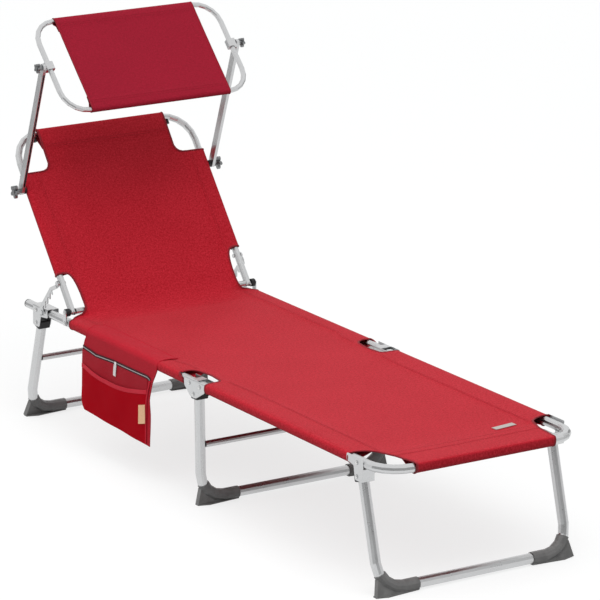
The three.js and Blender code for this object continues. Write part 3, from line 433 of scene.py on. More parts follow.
def sling_normal(x, p):
    across = sling(x + 1, p) - sling(x - 1, p)
    along = sling(x, p + 1) - sling(x, p - 1)
    return across.cross(along).normalized()


# Angles of the cloth round a tube, from its top outward and back under it, and the power of its fold over the top
# outer corner: 1 is round, and less is squarer
WRAP = [90 - 12 * i for i in range(19)]
SOFT_FOLD = 0.62
CRISP_FOLD = 0.34


def bend(angle, radius, power=SOFT_FOLD):
    """Across and up of the cloth round a tube: a tight fold over the top outer corner, round below it."""
    c, w = math.cos(math.radians(angle)), math.sin(math.radians(angle))
    if c > 0 and w > 0:
        return radius * c ** power, radius * w ** power
    return radius * c, radius * w


def columns(half, seam):
    """Places across the panel: even inside the side seams, closer outside them."""
    outer = [seam + (half - seam) * t for t in (0.08, 0.2, 0.45, 0.72, 1.0)]
    return [-x for x in outer[::-1]] + [seam * i / 10 for i in range(-10, 11)] + outer


def on_sleeve(side, p, across, up):
    """A point beside a rail or a back tube: across is outward from the tube's centre, up is along the front normal."""
    if p < CREASE:
        return place(side * (RAIL_X + across), p, RAIL_Z + up)
    return on_back(side * (BACK_X + across), back_place(p), up)


def sleeve_side(side, p, slant):
    """The cloth round the tube and back to its seam, from the panel outward."""
    rail = p < CREASE
    edge, radius = (RAIL_X, RAIL_SLEEVE) if rail else (BACK_X, BACK_SLEEVE)
    seam = edge - inner(p)
    entries = []
    run = 0.0
    for angle in WRAP[1:]:
        a = math.radians(angle)
        run = radius * (math.pi / 2 - a)
        shift = slant * (1 - ease(angle, -20, 90)) if slant else 0.0
        entries.append((on_sleeve(side, p + shift, *bend(angle, radius)), run, p + shift))
    last = math.radians(WRAP[-1])
    start = (radius * math.cos(last), radius * math.sin(last))
    sag = seat_sag(edge - seam, p) if rail else back_sag(edge - seam, back_place(p))
    end = (-seam, radius - sag - 1.5 * CLOTH)
    for t in (0.34, 0.67, 1.0):
        across = start[0] + (end[0] - start[0]) * t
        up = start[1] + (end[1] - start[1]) * t
        entries.append((on_sleeve(side, p + slant, across, up), run + seam * t, p + slant))
    return entries


WAIST_SLANT = 24.0
SLANT_END = 915


def slant_at(p):
    """The sleeve's end by the waist runs obliquely toward the foot on its outer side."""
    return -WAIST_SLANT * (1 - ease(p, WAIST_CUT[1], SLANT_END)) if WAIST_CUT[1] <= p <= HIP_CUT[0] else 0.0


def panel_spot(x, p):
    """Where the panel's outer edge moves with that oblique end."""
    return p + slant_at(p) * 0.2 * ease(abs(x), 236, 264)


def sling_row(p):
    half = between(HALF, p)
    panel = [(sling(x, panel_spot(x, p)), x, panel_spot(x, p)) for x in columns(half, inner(p))]
    edge = RAIL_X if p < CREASE else BACK_X
    if any(a <= p <= b for a, b in SLEEVES):
        left = [(point, -edge - run, v) for point, run, v in sleeve_side(-1, p, slant_at(p))]
        right = [(point, edge + run, v) for point, run, v in sleeve_side(1, p, slant_at(p))]
    else:
        left = right = [None] * (len(WRAP) + 2)
    return left[::-1] + panel + right


# The sleeve round an end bar closes between these distances behind it, and is sewn to the panel just past them
CLOSING = (8, 44)
SEAM_BACK = 46


def bar_wrap(xs, radius, spot, under, power=SOFT_FOLD):
    """Rows of cloth round an end bar, from its seam under the panel to the top of the bar."""
    rows = []
    blank = [None] * (len(WRAP) + 2)
    for t in (1.0, 0.6, 0.2):
        back = SEAM_BACK * t
        rows.append(blank + [(spot(x, back, under(x, back)), x, -radius * math.pi - back) for x in xs] + blank)
    for angle in range(-90, 90, 10):
        across, up = bend(angle, radius, power)
        rows.append(blank + [(spot(x, -across, up), x, -radius * math.radians(90 - angle)) for x in xs] + blank)
    return rows


def under_seat(x, p):
    return -RAIL_SLEEVE + ease(p, *CLOSING) * (2 * RAIL_SLEEVE - seat_sag(x, p) - 1.5 * CLOTH)


def under_back(x, d):
    return -BACK_SLEEVE + ease(d, *CLOSING) * (2 * BACK_SLEEVE - back_sag(x, BACK_TOP - d) - 1.5 * CLOTH)


HEM_LIFT = 0.3
foot_wrap = bar_wrap(columns(FOOT_HALF, inner(0)), RAIL_SLEEVE + HEM_LIFT, lambda x, y, z: place(x, y, RAIL_Z + z),
                     under_seat, CRISP_FOLD)
top_wrap = bar_wrap(columns(TOP_HALF, inner(TOP)), BACK_SLEEVE + HEM_LIFT,
                    lambda x, y, z: on_back(x, BACK_TOP - y, z), under_back)
top_wrap = [[entry and (entry[0], entry[1], TOP - entry[2]) for entry in row] for row in top_wrap[::-1]]


# Spacing of the rows of the sling
COARSE, FINE, CLOSEST = 15, 4, 0.45


def stops(low, high):
    """Row places: close together at the cut edges, wider along the plain runs."""
    found = {low, high, *(p for p, _ in HALF), *(row[0] for row in TURN), *FOOT_HEM, *TOP_HEM}
    for a, b in ((0, FOOT_CUT), WAIST_CUT, (1350, HIP_CUT[1]), (SHOULDER_CUT, 1812)):
        found.update(steps(a, b, FINE))
    found.update(steps(*CURVE, 6))
    found.update((864, 870, 878, 888, 900, SLANT_END))
    found.update(steps(0, TOP, COARSE))
    kept = []
    for p in sorted(found):
        if low <= p <= high and (not kept or p - kept[-1] >= CLOSEST or p == high):
            kept.append(p)
    return kept


# The sling's three sheets meet at these two lines
FOLD = 785.0
SEAM_LINE = 1100.0
foot_sling = grid("foot_sling", foot_wrap + [sling_row(p) for p in stops(0, FOLD)], red_cloth)
seat_sling = grid("seat_sling", [sling_row(p) for p in stops(FOLD, SEAM_LINE)], red_cloth)
back_sling = grid("back_sling", [sling_row(p) for p in stops(SEAM_LINE, TOP)] + top_wrap, red_cloth)


def solid(name, points, faces, material, smooth=50):
    """A piece of closed shells, with its faces turned outward."""
    mesh = bpy.data.meshes.new(name)
    mesh.from_pydata(points, [], faces)
    shell = bmesh.new()
    shell.from_mesh(mesh)
    bmesh.ops.recalc_face_normals(shell, faces=shell.faces)
    shell.to_mesh(mesh)
    shell.free()
    layer = mesh.uv_layers.new(name="cloth")
    for loop in mesh.loops:
        co = mesh.vertices[loop.vertex_index].co
        layer.data[loop.index].uv = (co.x + co.z, co.y + 0.3 * co.z)
    mesh.materials.append(material)
    for polygon in mesh.polygons:
        polygon.use_smooth = True
    mesh.set_sharp_from_angle(angle=math.radians(smooth))
    return linked(name, mesh)


def swept(name, runs, shape, material):
    """A closed outline carried along runs of (point, outward, normal)."""
    points, faces = [], []
    count = len(shape)
    for run in runs:
        first = len(points)
        for spot, out, up in run:
            points += [spot + (out * a + up * b) / MM for a, b in shape]
        for i in range(len(run) - 1):
            for k in range(count):
                low, nxt = first + i * count, (k + 1) % count
                faces.append([low + k, low + nxt, low + count + nxt, low + count + k])
        faces.append([first + k for k in range(count)])
        faces.append([len(points) - count + k for k in range(count)])
    return solid(name, points, faces, material)


# Outline of the binding on a cut edge: outward and up from the edge of the cloth
TAPE = [(-4.4, 0.6), (-3.6, 1.0), (-2.4, 1.5), (-1.0, 1.9), (0.3, 1.5), (0.9, 0.3), (0.6, -1.0), (-0.6, -1.7),
        (-2.0, -1.6), (-3.6, -1.0), (-4.4, -0.6)]


def facing(path, side):
    """Path points with their normals, made into stations with the outward direction."""
    made = []
    for i, (spot, up) in enumerate(path):
        ahead = path[min(i + 1, len(path) - 1)][0] - path[max(i - 1, 0)][0]
        made.append((spot, (ahead.cross(up) * side).normalized(), up))
    return made


def ring(side, p):
    """The round part of a sleeve's end, from above the tube to under it."""
    tilt = 0.0 if p < CREASE else BACK_TILT
    front = Vector((0, -math.sin(tilt), math.cos(tilt)))
    entries = sleeve_side(side, p, slant_at(p))
    return [(entry[0], Vector((side * math.cos(math.radians(a)), 0, 0)) + front * math.sin(math.radians(a)))
            for entry, a in zip(entries, WRAP[1:])]


def cut_edge(side, low, high):
    path = []
    for p in stops(low, high):
        x = side * between(HALF, p)
        q = panel_spot(x, p)
        path.append((sling(x, q), sling_normal(x, q)))
    return path


def bar_edge(side, rows):
    """The end of the cloth round an end bar."""
    column = [[entry for entry in row if entry][-1 if side > 0 else 0][0] for row in rows]
    path = []
    for i, spot in enumerate(column):
        ahead = column[min(i + 1, len(column) - 1)] - column[max(i - 1, 0)]
        path.append((spot, Vector((1, 0, 0)).cross(ahead).normalized()))
    return path


foot_edges, seat_edges, back_edges = [], [], []
for side in (-1, 1):
    runs = (bar_edge(side, foot_wrap) + cut_edge(side, 0, 130) + ring(side, FOOT_CUT),
            ring(side, WAIST_CUT[0])[::-1] + cut_edge(side, 742, FOLD),
            cut_edge(side, FOLD, 859.5) + ring(side, WAIST_CUT[1]),
            ring(side, HIP_CUT[0])[::-1] + cut_edge(side, 1380, 1507) + ring(side, HIP_CUT[1]),
            ring(side, SHOULDER_CUT)[::-1] + cut_edge(side, 1787, TOP) + bar_edge(side, top_wrap))
    for edges, path in zip((foot_edges, foot_edges, seat_edges, back_edges, back_edges), runs):
        edges.append(facing(path, side))
# Bindings on the cut edges, in cloth darkened with painted shade
foot_binding = swept("foot_binding", foot_edges, TAPE, binding_painted_shade)
seat_binding = swept("seat_binding", seat_edges, TAPE, binding_painted_shade)
back_binding = swept("back_binding", back_edges, TAPE, binding_painted_shade)


# Stitches: from one to the next, the length and the radius of one
PITCH, STITCH, THREAD = 5.0, 3.6, 0.32


def thread_run(name, paths):
    """Sewn lines: short thread stitches that lie on the cloth, along paths of (point, normal)."""
    mesh = bpy.data.meshes.new(name)
    points, faces = [], []
    for path in paths:
        run, stations = 0.0, []
        for (a, normal), (b, _) in zip(path, path[1:]):
            stations.append((run, a, normal))
            run += (b - a).length * MM
        stations.append((run, *path[-1]))
        for k in range(int(run / PITCH)):
            ends = []
            for at in (k * PITCH, k * PITCH + STITCH):
                after = next((i for i, st in enumerate(stations) if st[0] >= at), len(stations) - 1)
                before = max(0, after - 1)
                wide = max(1e-9, stations[after][0] - stations[before][0])
                t = (at - stations[before][0]) / wide if after else 0.0
                ends.append((stations[before][1].lerp(stations[after][1], t), stations[after][2]))
            (a, up), (b, _) = ends
            along = (b - a).normalized()
            side = along.cross(up).normalized()
            first = len(points)
            for spot, swell in ((a, 0.5), (a.lerp(b, 0.25), 1.0), (a.lerp(b, 0.75), 1.0), (b, 0.5)):
                for out, lift in ((1, 0), (0, 1), (-1, 0), (0, -1)):
                    points.append(spot + (side * out + up * lift) * swell * THREAD / MM)
            for part in range(3):
                for corner in range(4):
                    nxt = (corner + 1) % 4
                    low, high = first + part * 4, first + part * 4 + 4
                    faces.append([low + corner, low + nxt, high + nxt, high + corner])
            faces.append([first + i for i in (3, 2, 1, 0)])
            faces.append([first + 12 + i for i in (0, 1, 2, 3)])
    mesh.from_pydata(points, [], faces)
    layer = mesh.uv_layers.new(name="cloth")
    for loop in mesh.loops:
        co = mesh.vertices[loop.vertex_index].co
        layer.data[loop.index].uv = (co.x, co.y)
    mesh.materials.append(thread_red)
    return linked(name, mesh)


THREAD_LIFT = CLOTH / 2 + 0.1
HEM_INSET = 6.0


def sling_line(points):
    return [(sling(x, p) + sling_normal(x, p) * THREAD_LIFT / MM, sling_normal(x, p)) for x, p in points]


def side_seams(low, high):
    """Two rows of stitching along each sleeve seam."""
    return [sling_line([(side * (inner(p) + past), p) for p in steps(low, high, COARSE)])
            for side in (-1, 1) for past in (3.2, 8.5)]


def hem_line(low, high):
    return [sling_line([(side * (between(HALF, p) - HEM_INSET), p) for p in stops(low, high)]) for side in (-1, 1)]


def cross_line(p, half):
    return sling_line([(x, p) for x in steps(-half, half, 20)])


foot_lines = side_seams(112, 736) + hem_line(4, 122) + hem_line(750, FOLD)
foot_lines += [cross_line(p, 196) for p in (59, 64, 86.5)]
seat_lines = side_seams(FOLD + 75, SEAM_LINE) + hem_line(FOLD, 848)
back_lines = side_seams(SEAM_LINE, 1378) + side_seams(1510, 1784) + hem_line(1400, 1500) + hem_line(1796, TOP)
back_lines += [cross_line(p, 178) for p in (TOP - 43, TOP - 37)]
foot_stitching = thread_run("foot_stitching", foot_lines)
seat_stitching = thread_run("seat_stitching", seat_lines)
back_stitching = thread_run("back_stitching", back_lines)

# The sling's pieces are baked into place in the CAD's frame, and the CAD's own cloth is hidden
for piece in (foot_sling, foot_binding, foot_stitching):
    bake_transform(piece)
for piece in (seat_sling, seat_binding, seat_stitching):
    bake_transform(piece)
for piece in (back_sling, back_binding, back_stitching):
    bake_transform(piece)
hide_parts("foot_cloth")
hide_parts("seat_cloth")
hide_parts("back_cloth")


# Bare metal tag on the foot end, slightly askew
TAG_MIDDLE = (139.5, 117.3)
TAG_WIDE, TAG_HIGH, TAG_ASKEW, TAG_LIFT = 60, 19, 4.4, 1.8


def tag_spot(u, v):
    x = TAG_MIDDLE[0] + (u - 0.5) * TAG_WIDE
    p = TAG_MIDDLE[1] + (u - 0.5) * TAG_ASKEW + (v - 0.5) * TAG_HIGH
    return sling(x, p) + sling_normal(x, p) * TAG_LIFT / MM


tag_rows = [[(tag_spot(i / 6, j / 3), i * 10, j * 6) for i in range(7)] for j in range(4)]
foot_tag = grid("foot_tag", tag_rows, tag_metal, 1.0)
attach(foot_tag, "foot_section")


# Canopy cloth, sewn round the loop's two cross bars and turned back under itself
CANOPY_HALF = 199
CANOPY_FRONT, CANOPY_BACK = -134.0, 127.0
FRONT_HEM, BACK_HEM = (-111, -109), (102, 104)
CANOPY_SAG = 2.2
CANOPY_TURN = 34


def canopy_point(x, s):
    rise = 0.8 * ease(abs(x), 120, CANOPY_HALF)
    sag = CANOPY_SAG * ease(s, CANOPY_FRONT, -40) * ease(-s, -CANOPY_BACK, -40)
    sag *= 0.55 + 0.45 * (1 - (x / CANOPY_HALF) ** 2)
    hem = 0.2 * max(1 - ease(s, *FRONT_HEM), ease(s, *BACK_HEM))
    rise *= ease(s, CANOPY_FRONT, -60) * ease(-s, -CANOPY_BACK, -60)
    return on_canopy(x, s, CANOPY_SLEEVE - sag + hem + rise)


def canopy_rows():
    """Rows from the front seam round the front bar, over the top, and round the back bar to its seam."""
    xs = [CANOPY_HALF * i / 14 for i in range(-14, 15)]

    def turned(bar, way, t):
        back = CANOPY_TURN * t
        height = -CANOPY_SLEEVE + ease(back, 2, 22) * (2 * CANOPY_SLEEVE - 2.8)
        return [(on_canopy(x, bar - way * back, height), x, bar + way * (30 + back)) for x in xs]

    def wrapped(bar, way, angle):
        a = math.radians(angle)
        return [(on_canopy(x, bar + way * CANOPY_SLEEVE * math.cos(a), CANOPY_SLEEVE * math.sin(a)), x,
                 bar + way * CANOPY_SLEEVE * (math.pi / 2 - a)) for x in xs]

    places = sorted({*steps(CANOPY_FRONT, CANOPY_BACK, 12), *FRONT_HEM, *BACK_HEM})
    return ([turned(CANOPY_FRONT, -1, t) for t in (1.0, 0.5, 0.15)]
            + [wrapped(CANOPY_FRONT, -1, angle) for angle in range(-90, 90, 15)]
            + [[(canopy_point(x, s), x, s) for x in xs] for s in places]
            + [wrapped(CANOPY_BACK, 1, angle) for angle in range(75, -105, -15)]
            + [turned(CANOPY_BACK, 1, t) for t in (0.15, 0.5, 1.0)])


canopy_sheet = grid("canopy_sheet", canopy_rows(), shade_cloth)
NARROW = [(a * 0.6, b * 0.6) for a, b in TAPE]
# The canopy's binding uses the same painted-shade cloth
canopy_binding = swept("canopy_binding", [facing(bar_edge(side, canopy_rows()), side) for side in (-1, 1)], NARROW,
                       binding_painted_shade)


def canopy_line(points):
    lifted = []
    for x, s in points:
        up = (canopy_point(x + 1, s) - canopy_point(x - 1, s)).cross(canopy_point(x, s + 1) - canopy_point(x, s - 1))
        up.normalize()
        lifted.append((canopy_point(x, s) + up * THREAD_LIFT / MM, up))
    return lifted


canopy_lines = [canopy_line([(x, s) for x in steps(-190, 190, 16)]) for s in (-114, -120, 107, 113)]
canopy_lines += [canopy_line([(side * 192, s) for s in steps(-130, 122, 14)]) for side in (-1, 1)]
canopy_stitching = thread_run("canopy_stitching", canopy_lines)
for piece in (canopy_sheet, canopy_binding, canopy_stitching):
    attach(piece, "canopy")
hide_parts("canopy_cloth")


# Organiser: a flap laid over the rail, a hanging backing, a zip pocket and a net pouch. The tables hold (height,
# lengthwise place) for the edges, and (lengthwise place, height) for the other lines.
FLAP = RAIL_SLEEVE + 1.6
FLAP_EDGE, FLAP_ENDS = 218, (957, 1297)
FACE = -RAIL_X - FLAP
ORGANISER_START, ORGANISER_WIDE, ORGANISER_FOOT = 977, 325, 95
CORNER_TOP, CORNER_HIGH, CORNER_IN = 132, 28, 27
POUCH_START, POUCH_END, POUCH_COLUMNS = 990.5, 1301, 34
FOOT_EDGE = [(92, 976.7), (172.6, 976.4), (211.7, 980), (256, 970.6), (290.6, 952), (330, 955)]
HEAD_EDGE = [(92, 1301), (130, 1302), (251, 1304), (280, 1296), (294, 1287), (330, 1290)]
ZIP_LINE = [(977, 259), (985, 263.5), (994, 264.6), (1053, 263), (1152, 262), (1236, 257.5), (1262, 260.5),
            (1300, 264)]
PIPING = [(977.5, 258), (981, 246), (985, 231), (988, 215), (990, 200), (992, 170), (992.5, 149), (992, 122),
          (991.5, 98)]
MOUTH = [(990, 233), (1010, 229), (1044, 222), (1075, 216.5), (1112, 213), (1155, 212), (1196, 213), (1240, 218),
         (1279, 223), (1302, 222)]


def bottom_at(share):
    """Height of the lower edge, which rises toward the head."""
    return ORGANISER_FOOT + 12 * share - 2.5 * math.sin(math.pi * share)


def edge_at(share, z):
    """Lengthwise place of a share of the width at a height, with the low head corner rounded."""
    foot, head = between(FOOT_EDGE, z), between(HEAD_EDGE, z)
    corner = min(1.0, max(0.0, (CORNER_TOP - z) / CORNER_HIGH))
    return foot + (head - CORNER_IN * (1 - math.sqrt(1 - corner ** 2)) - foot) * share


def face_bulge(y, z):
    """How far the hanging cloth swings out from its plane."""
    wave = 1.3 * math.sin(y / 47) + 0.8 * math.sin(y / 19 + z / 40)
    return -(3.5 + wave) * ease(290 - z, 0, 90) - 2.0 * ease(180 - z, 0, 90)


def hang(y, z, out):
    """A point out from the face of the hanging cloth."""
    return place(FACE + face_bulge(y, z) - out, y, z)


def backing_rows():
    """Rows that run from the flap on the seat, over the rail and down."""
    rows = []
    for k in range(31):
        share = k / 30
        row = []
        for i in range(5):
            x = -FLAP_EDGE - (RAIL_X - FLAP_EDGE) * i / 5
            y = FLAP_ENDS[0] + (FLAP_ENDS[1] - FLAP_ENDS[0]) * share
            lift = 2.0 + 0.9 * math.sin(y / 31 + x / 14) ** 2
            row.append((sling(x, y) + sling_normal(x, y) * lift / MM, RAIL_X + x, y))
        for step in range(9):
            a = math.radians(90 + 90 * step / 8)
            z = RAIL_Z + FLAP * math.sin(a)
            y = between([(0, between(FOOT_EDGE, z + 12)), (1, between(HEAD_EDGE, z + 12))], share)
            row.append((place(-RAIL_X + FLAP * math.cos(a), y, z), -FLAP * math.pi / 2 * step / 8, y))
        low = bottom_at(share)
        for i in range(1, 24):
            z = RAIL_Z + (low - RAIL_Z) * i / 23
            y = edge_at(share, z)
            row.append((place(FACE + face_bulge(y, z), y, z), z - RAIL_Z - 20, y))
        rows.append(row)
    return rows


def pocket_out(u, v):
    """Bulge of the zip pocket off the backing: u along it, v from its foot to the zip."""
    full = math.sin(math.pi * min(1, max(0, u))) ** 0.6 * math.sin(math.pi * min(1, max(0, v)) * 0.92) ** 0.6
    fold = math.sin(u * 15 + v * 4) * 0.5 + math.sin(u * 31 - v * 9) * 0.3
    return 1.6 + (2.6 + fold) * full


def pouch_out(u, v):
    """The net pouch stands off the pocket, most at its open mouth."""
    return pocket_out(u, v * 0.8) + 0.9 + 6.5 * math.sin(math.pi * min(1, max(0, u))) ** 0.5 * ease(v, 0.0, 1.0)


def panel_rows(start, end, top, out, across, up):
    """A panel laid on the backing, between the places of its ends and from the lower edge to its top."""
    rows = []
    for j in range(up + 1):
        v = j / up
        row = []
        for i in range(across + 1):
            u = i / across
            y = start(0) + (end(0) - start(0)) * u
            low = bottom_at((y - ORGANISER_START) / ORGANISER_WIDE) + 1.5
            z = low + (top(y) - low) * v
            if z < CORNER_TOP:
                y = min(y, edge_at(1, z) - 3)
            y = max(y, start(z))
            row.append((hang(y, z, out(u, v)), y, z))
        rows.append(row)
    return rows


def piping_y(z):
    return between([(high, y) for y, high in PIPING[::-1]], z)


backing = backing_rows()
organiser_backing = grid("organiser_backing", backing, pocket_cloth, 1.4)
pocket_rows = panel_rows(piping_y, lambda z: 1300, lambda y: between(ZIP_LINE, y) - 5, pocket_out, 30, 18)
organiser_pocket = grid("organiser_pocket", pocket_rows, zip_cloth, 0.9)
pouch_rows = panel_rows(lambda z: POUCH_START, lambda z: POUCH_END, lambda y: between(MOUTH, y) - 4, pouch_out,
                        POUCH_COLUMNS, 12)
organiser_net = grid("organiser_net", pouch_rows, pouch_net, 0)
hem_places = [(i / POUCH_COLUMNS, POUCH_START + (POUCH_END - POUCH_START) * i / POUCH_COLUMNS)
              for i in range(POUCH_COLUMNS + 1)]
hem_rows = [[(hang(y, between(MOUTH, y) - drop, pouch_out(u, 1.0) + 0.2), y, -drop) for u, y in hem_places]
            for drop in (0, 2.5, 5, 7.5, 10)]
# The pouch's hem cloth is lighter: painted highlight
pouch_hem = grid("pouch_hem", hem_rows, hem_painted_highlight, 1.6)
zip_rows = [[(hang(y, between(ZIP_LINE, y) + high, 2.6), y, high) for y in steps(978, 1299, 10)]
            for high in (-4.8, -2.4, 0, 2.4, 4.8)]
zip_tape = grid("zip_tape", zip_rows, dark_tape, 0.9)

# A bare label, whose lower corner is at this place and height, and which falls toward the head
LABEL_Y, LABEL_Z, LABEL_WIDE, LABEL_FALL, LABEL_HIGH = 990.8, 149.5, 28, 7.5, 47.5
label_rows = [[(hang(LABEL_Y + LABEL_WIDE * i / 4, LABEL_Z - LABEL_FALL * i / 4 + LABEL_HIGH * j / 6,
                     pouch_out(0.05 + 0.02 * i, 0.6) + 1.6), i * 7, j * 8) for i in range(5)] for j in range(7)]
pocket_label = grid("pocket_label", label_rows, label_cloth, 0.8)

# Outlines of the small fittings, and the direction out from the organiser
SQUARE = [(-1, -1), (1, -1), (1, 1), (-1, 1)]
ROUND = [(math.cos(math.radians(a)), math.sin(math.radians(a))) for a in range(0, 360, 45)]
OUTWARD = Vector((-1, 0, 0))


def rod(points, wide, thick):
    """Stations of a straight or bent rod, with half its width and half its thickness."""
    made = []
    for i, spot in enumerate(points):
        ahead = points[min(i + 1, len(points) - 1)] - points[max(i - 1, 0)]
        made.append((spot, ahead.cross(OUTWARD).normalized() * wide, OUTWARD * thick))
    return made


piping_path = [hang(y, z, 3.0) for y, z in PIPING]
# The piping's lighter cloth is a painted highlight
pocket_piping = swept("pocket_piping", [rod(piping_path, 1.9, 1.9)], ROUND, hem_painted_highlight)


def block(y, z, out, long, high, thick):
    """Stations of a small upright block."""
    middle = hang(y, z, out)
    return [(middle + Vector((0, d / MM, 0)), Vector((0, 0, high / 2)), OUTWARD * (thick / 2))
            for d in (-long / 2, long / 2)]


teeth = [block(y, between(ZIP_LINE, y), 3.3, 1.8, 2.2, 1.0) for y in steps(980, 1296, 3.2)]
zip_teeth = swept("zip_teeth", teeth, SQUARE, steel)
SLIDER_Y = 1138
zip_slider = swept("zip_slider", [block(SLIDER_Y, 262.5, 5.0, 9, 7, 2.6), block(SLIDER_Y, 256, 5.8, 5, 8, 1.2)],
                   SQUARE, bright_steel)
pull_path = [hang(SLIDER_Y + 0.6 * i, 258 - 7 * i, 6.2 + 0.5 * math.sin(i)) for i in range(5)]
zip_pull = swept("zip_pull", [rod(pull_path, 5.5, 0.7)], SQUARE, pull_plastic)

# Outline of the binding round the organiser
BIND = [(-3.6, 0.9), (-3.2, 1.2), (-0.6, 1.4), (0.5, 1.0), (1.0, 0), (0.5, -1.0), (-0.6, -1.4), (-3.2, -1.2),
        (-3.6, -0.9)]


def border(rows):
    """Stations along the four sides of a grid of cloth."""
    def spot(i, j):
        i, j = min(max(i, 0), len(rows) - 1), min(max(j, 0), len(rows[0]) - 1)
        return rows[i][j][0]

    def station(i, j, di, dj):
        along = spot(i + 1, j) - spot(i - 1, j)
        down = spot(i, j + 1) - spot(i, j - 1)
        up = along.cross(down).normalized()
        out = along * di + down * dj
        out = (out - up * out.dot(up)).normalized()
        return (spot(i, j), out, up)

    last_i, last_j = len(rows) - 1, len(rows[0]) - 1
    return [[station(0, j, -1, 0) for j in range(last_j + 1)], [station(last_i, j, 1, 0) for j in range(last_j + 1)],
            [station(i, 0, 0, -1) for i in range(last_i + 1)], [station(i, last_j, 0, 1) for i in range(last_i + 1)]]


organiser_binding = swept("organiser_binding", border(backing), BIND, pocket_cloth)
extras = [organiser_pocket, organiser_net, pouch_hem, zip_tape, pocket_label, pocket_piping, zip_teeth, zip_slider,
          zip_pull, organiser_binding]
for piece in [organiser_backing, *extras]:
    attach(piece, "seat_frame")
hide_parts("organiser")


# Rivet heads: the outer faces they sit on and the places of the pivots
BRACKET_X, HINGE_PLATE_X = 278.5, 279.3
FOOT_PIVOT, HEAD_PIVOT, LEG_PIVOT_Z = 96, 1541, 265.3
WAIST_PIVOTS, MIDDLE_PIVOT = (762, 808), (790, 274.9)
HEAD_RADIUS, HEAD_HEIGHT = 4.2, 1.5
SIDES = 16


def domes(name, body, spots):
    """Low domed heads, each at a point with its axis."""
    points, faces = [], []
    for spot, axis in spots:
        side = axis.orthogonal().normalized()
        other = axis.cross(side)
        first = len(points)
        for reach, lift in ((1.0, -0.3), (1.0, 0.15), (0.88, 0.55), (0.6, 0.85), (0.25, 1.0)):
            for k in range(SIDES):
                a = 2 * math.pi * k / SIDES
                points.append(spot + ((side * math.cos(a) + other * math.sin(a)) * reach * HEAD_RADIUS
                                      + axis * lift * HEAD_HEIGHT) / MM)
        for level in range(4):
            for k in range(SIDES):
                low, nxt = first + level * SIDES, (k + 1) % SIDES
                faces.append([low + k, low + nxt, low + SIDES + nxt, low + SIDES + k])
        faces.append([first + k for k in range(SIDES)])
        faces.append([first + 4 * SIDES + k for k in range(SIDES)])
    piece = solid(name, points, faces, bright_steel, 40)
    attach(piece, body)


def both_sides(x, y, z):
    return [(place(side * x, y, z), Vector((side, 0, 0))) for side in (-1, 1)]


domes("foot_rivets", "foot_section",
      both_sides(BRACKET_X, FOOT_PIVOT, RAIL_Z) + both_sides(BRACKET_X, FOOT_PIVOT, LEG_PIVOT_Z))
domes("middle_rivets", "middle_brackets",
      both_sides(BRACKET_X, WAIST_PIVOTS[0], RAIL_Z) + both_sides(BRACKET_X, WAIST_PIVOTS[1], RAIL_Z)
      + both_sides(BRACKET_X, *MIDDLE_PIVOT))
domes("head_rivets", "seat_frame",
      both_sides(BRACKET_X, HEAD_PIVOT, RAIL_Z) + both_sides(BRACKET_X, HEAD_PIVOT, LEG_PIVOT_Z)
      + both_sides(HINGE_PLATE_X, HINGE_Y, RAIL_Z) + both_sides(HINGE_PLATE_X, HINGE_Y, HINGE_Z))


# Floor, light and camera
def plain_stage(name, points, faces, material):
    mesh = bpy.data.meshes.new(name)
    mesh.from_pydata(points, [], faces)
    mesh.materials.append(material)
    piece = linked(name, mesh)
    return piece


def seen_share(tree):
    """1 for rays that the camera sees, reflections and holes included, and 0 for those that light the object."""
    ray = add(tree, "ShaderNodeLightPath")
    return maths(tree, "MAXIMUM", ray.outputs["Is Camera Ray"],
                 maths(tree, "MAXIMUM", ray.outputs["Is Glossy Ray"], ray.outputs["Is Transmission Ray"]))


WHITE, BLACK = (1, 1, 1, 1), (0, 0, 0, 1)
FLOOR_GLOW = 0.73
FLOOR_REACH = 30
floor_material, floor_tree, floor_shader = new_material("floor", Roughness=0.9, Specular_IOR_Level=0.05,
                                                        Base_Color=(0.265, 0.27, 0.27, 1), Emission_Color=WHITE)
floor_tree.links.new(maths(floor_tree, "MULTIPLY", seen_share(floor_tree), FLOOR_GLOW),
                     floor_shader.inputs["Emission Strength"])
plain_stage("floor", [(x * FLOOR_REACH, y * FLOOR_REACH, -0.0005) for x, y in SQUARE], [[0, 1, 2, 3]], floor_material)

# Dark studio cards round the horizon give the tubes their dark bands; the camera doesn't see them
card_material = new_material("card", Roughness=1.0, Specular_IOR_Level=0.0, Emission_Strength=0.36,
                             Base_Color=BLACK, Emission_Color=WHITE)[0]


def card(name, start, end, reach, low, high):
    """An upright band on an arc round the object, from one compass angle to another."""
    points, faces = [], []
    for i, angle in enumerate(steps(start, end, 8)):
        a = math.radians(angle)
        points += [(reach * math.sin(a), reach * math.cos(a), z) for z in (low, high)]
        if i:
            faces.append([2 * i - 2, 2 * i, 2 * i + 1, 2 * i - 1])
    piece = plain_stage(name, points, faces, card_material)
    piece.visible_camera = piece.visible_diffuse = piece.visible_shadow = False


card("card_front", 133, 293, 10.5, 0.02, 6.0)
card("card_right", 60, 120, 5.0, 0.02, 2.2)
card("card_left", 308, 352, 3.1, 0.02, 0.5)

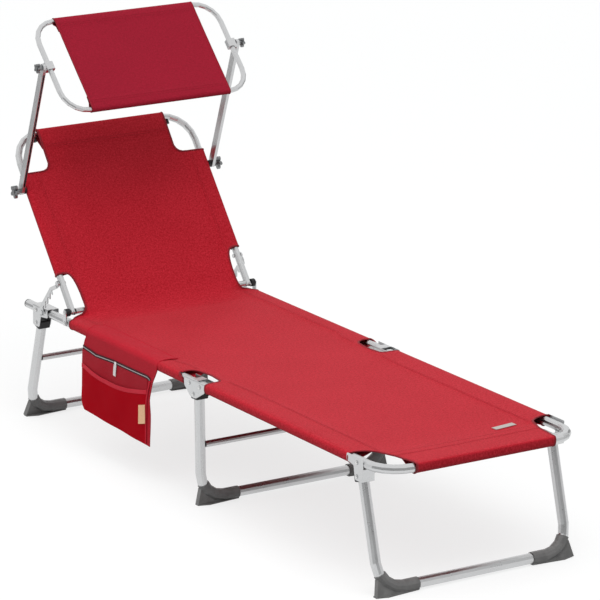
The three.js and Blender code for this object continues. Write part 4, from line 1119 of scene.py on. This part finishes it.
# The surround is white where it is seen, and lights the object at a lower strength
SKY_LIGHT, SKY_SEEN = 0.58, 1.0
world = bpy.data.worlds.new("studio")
scene.world = world
world.use_nodes = True
sky = world.node_tree
background = sky.nodes["Background"]
strength = add(sky, "ShaderNodeMapRange", {0: seen_share(sky), 1: 0.0, 2: 1.0, 3: SKY_LIGHT, 4: SKY_SEEN})
sky.links.new(strength.outputs[0], background.inputs["Strength"])
background.inputs["Color"].default_value = WHITE

sun_data = bpy.data.lights.new("overhead", "SUN")
sun_data.energy = 1.18
sun_data.angle = math.radians(65)
sun = linked("overhead", sun_data)
sun.visible_glossy = False
sun.rotation_euler = Vector((0.24, 0.1, -0.95)).to_track_quat("-Z", "Y").to_euler()


def soft_box(name, power, spot, aim, wide, high):
    """A soft lamp that no metal reflects."""
    data = bpy.data.lights.new(name, "AREA")
    data.shape = "RECTANGLE"
    data.size, data.size_y = wide, high
    data.energy = power
    lamp = linked(name, data)
    lamp.visible_glossy = False
    lamp.location = spot
    lamp.rotation_euler = Vector(aim).to_track_quat("-Z", "Y").to_euler()


soft_box("left_fill", 22, (-3.4, 0.4, 1.3), (3.4, -0.2, -1.0), 2.4, 1.6)
soft_box("front_top", 26, (-0.4, -1.7, 3.4), (0.4, 2.1, -2.9), 1.6, 1.6)

# The camera, solved from points on the frame in the photograph
camera_data = bpy.data.cameras.new("camera")
camera_data.sensor_width = 36
camera_data.lens = 248.11
camera_data.clip_end = 100
camera = linked("camera", camera_data)
azimuth, elevation, roll = math.radians(33.027), math.radians(15.775), math.radians(0.484)
forward = Vector((math.sin(azimuth) * math.cos(elevation), math.cos(azimuth) * math.cos(elevation),
                  -math.sin(elevation)))
level = Vector((math.cos(azimuth), -math.sin(azimuth), 0))
upward = level.cross(forward)
right = level * math.cos(roll) + upward * math.sin(roll)
top = upward * math.cos(roll) - level * math.sin(roll)
turned = Matrix((right, top, -forward)).transposed()
camera.matrix_world = Matrix.Translation(Vector((-5.13657, -7.14391 + BAR_Y / MM, 3.13416))) @ turned.to_4x4()
scene.camera = camera
scene.view_settings.view_transform = "Standard"
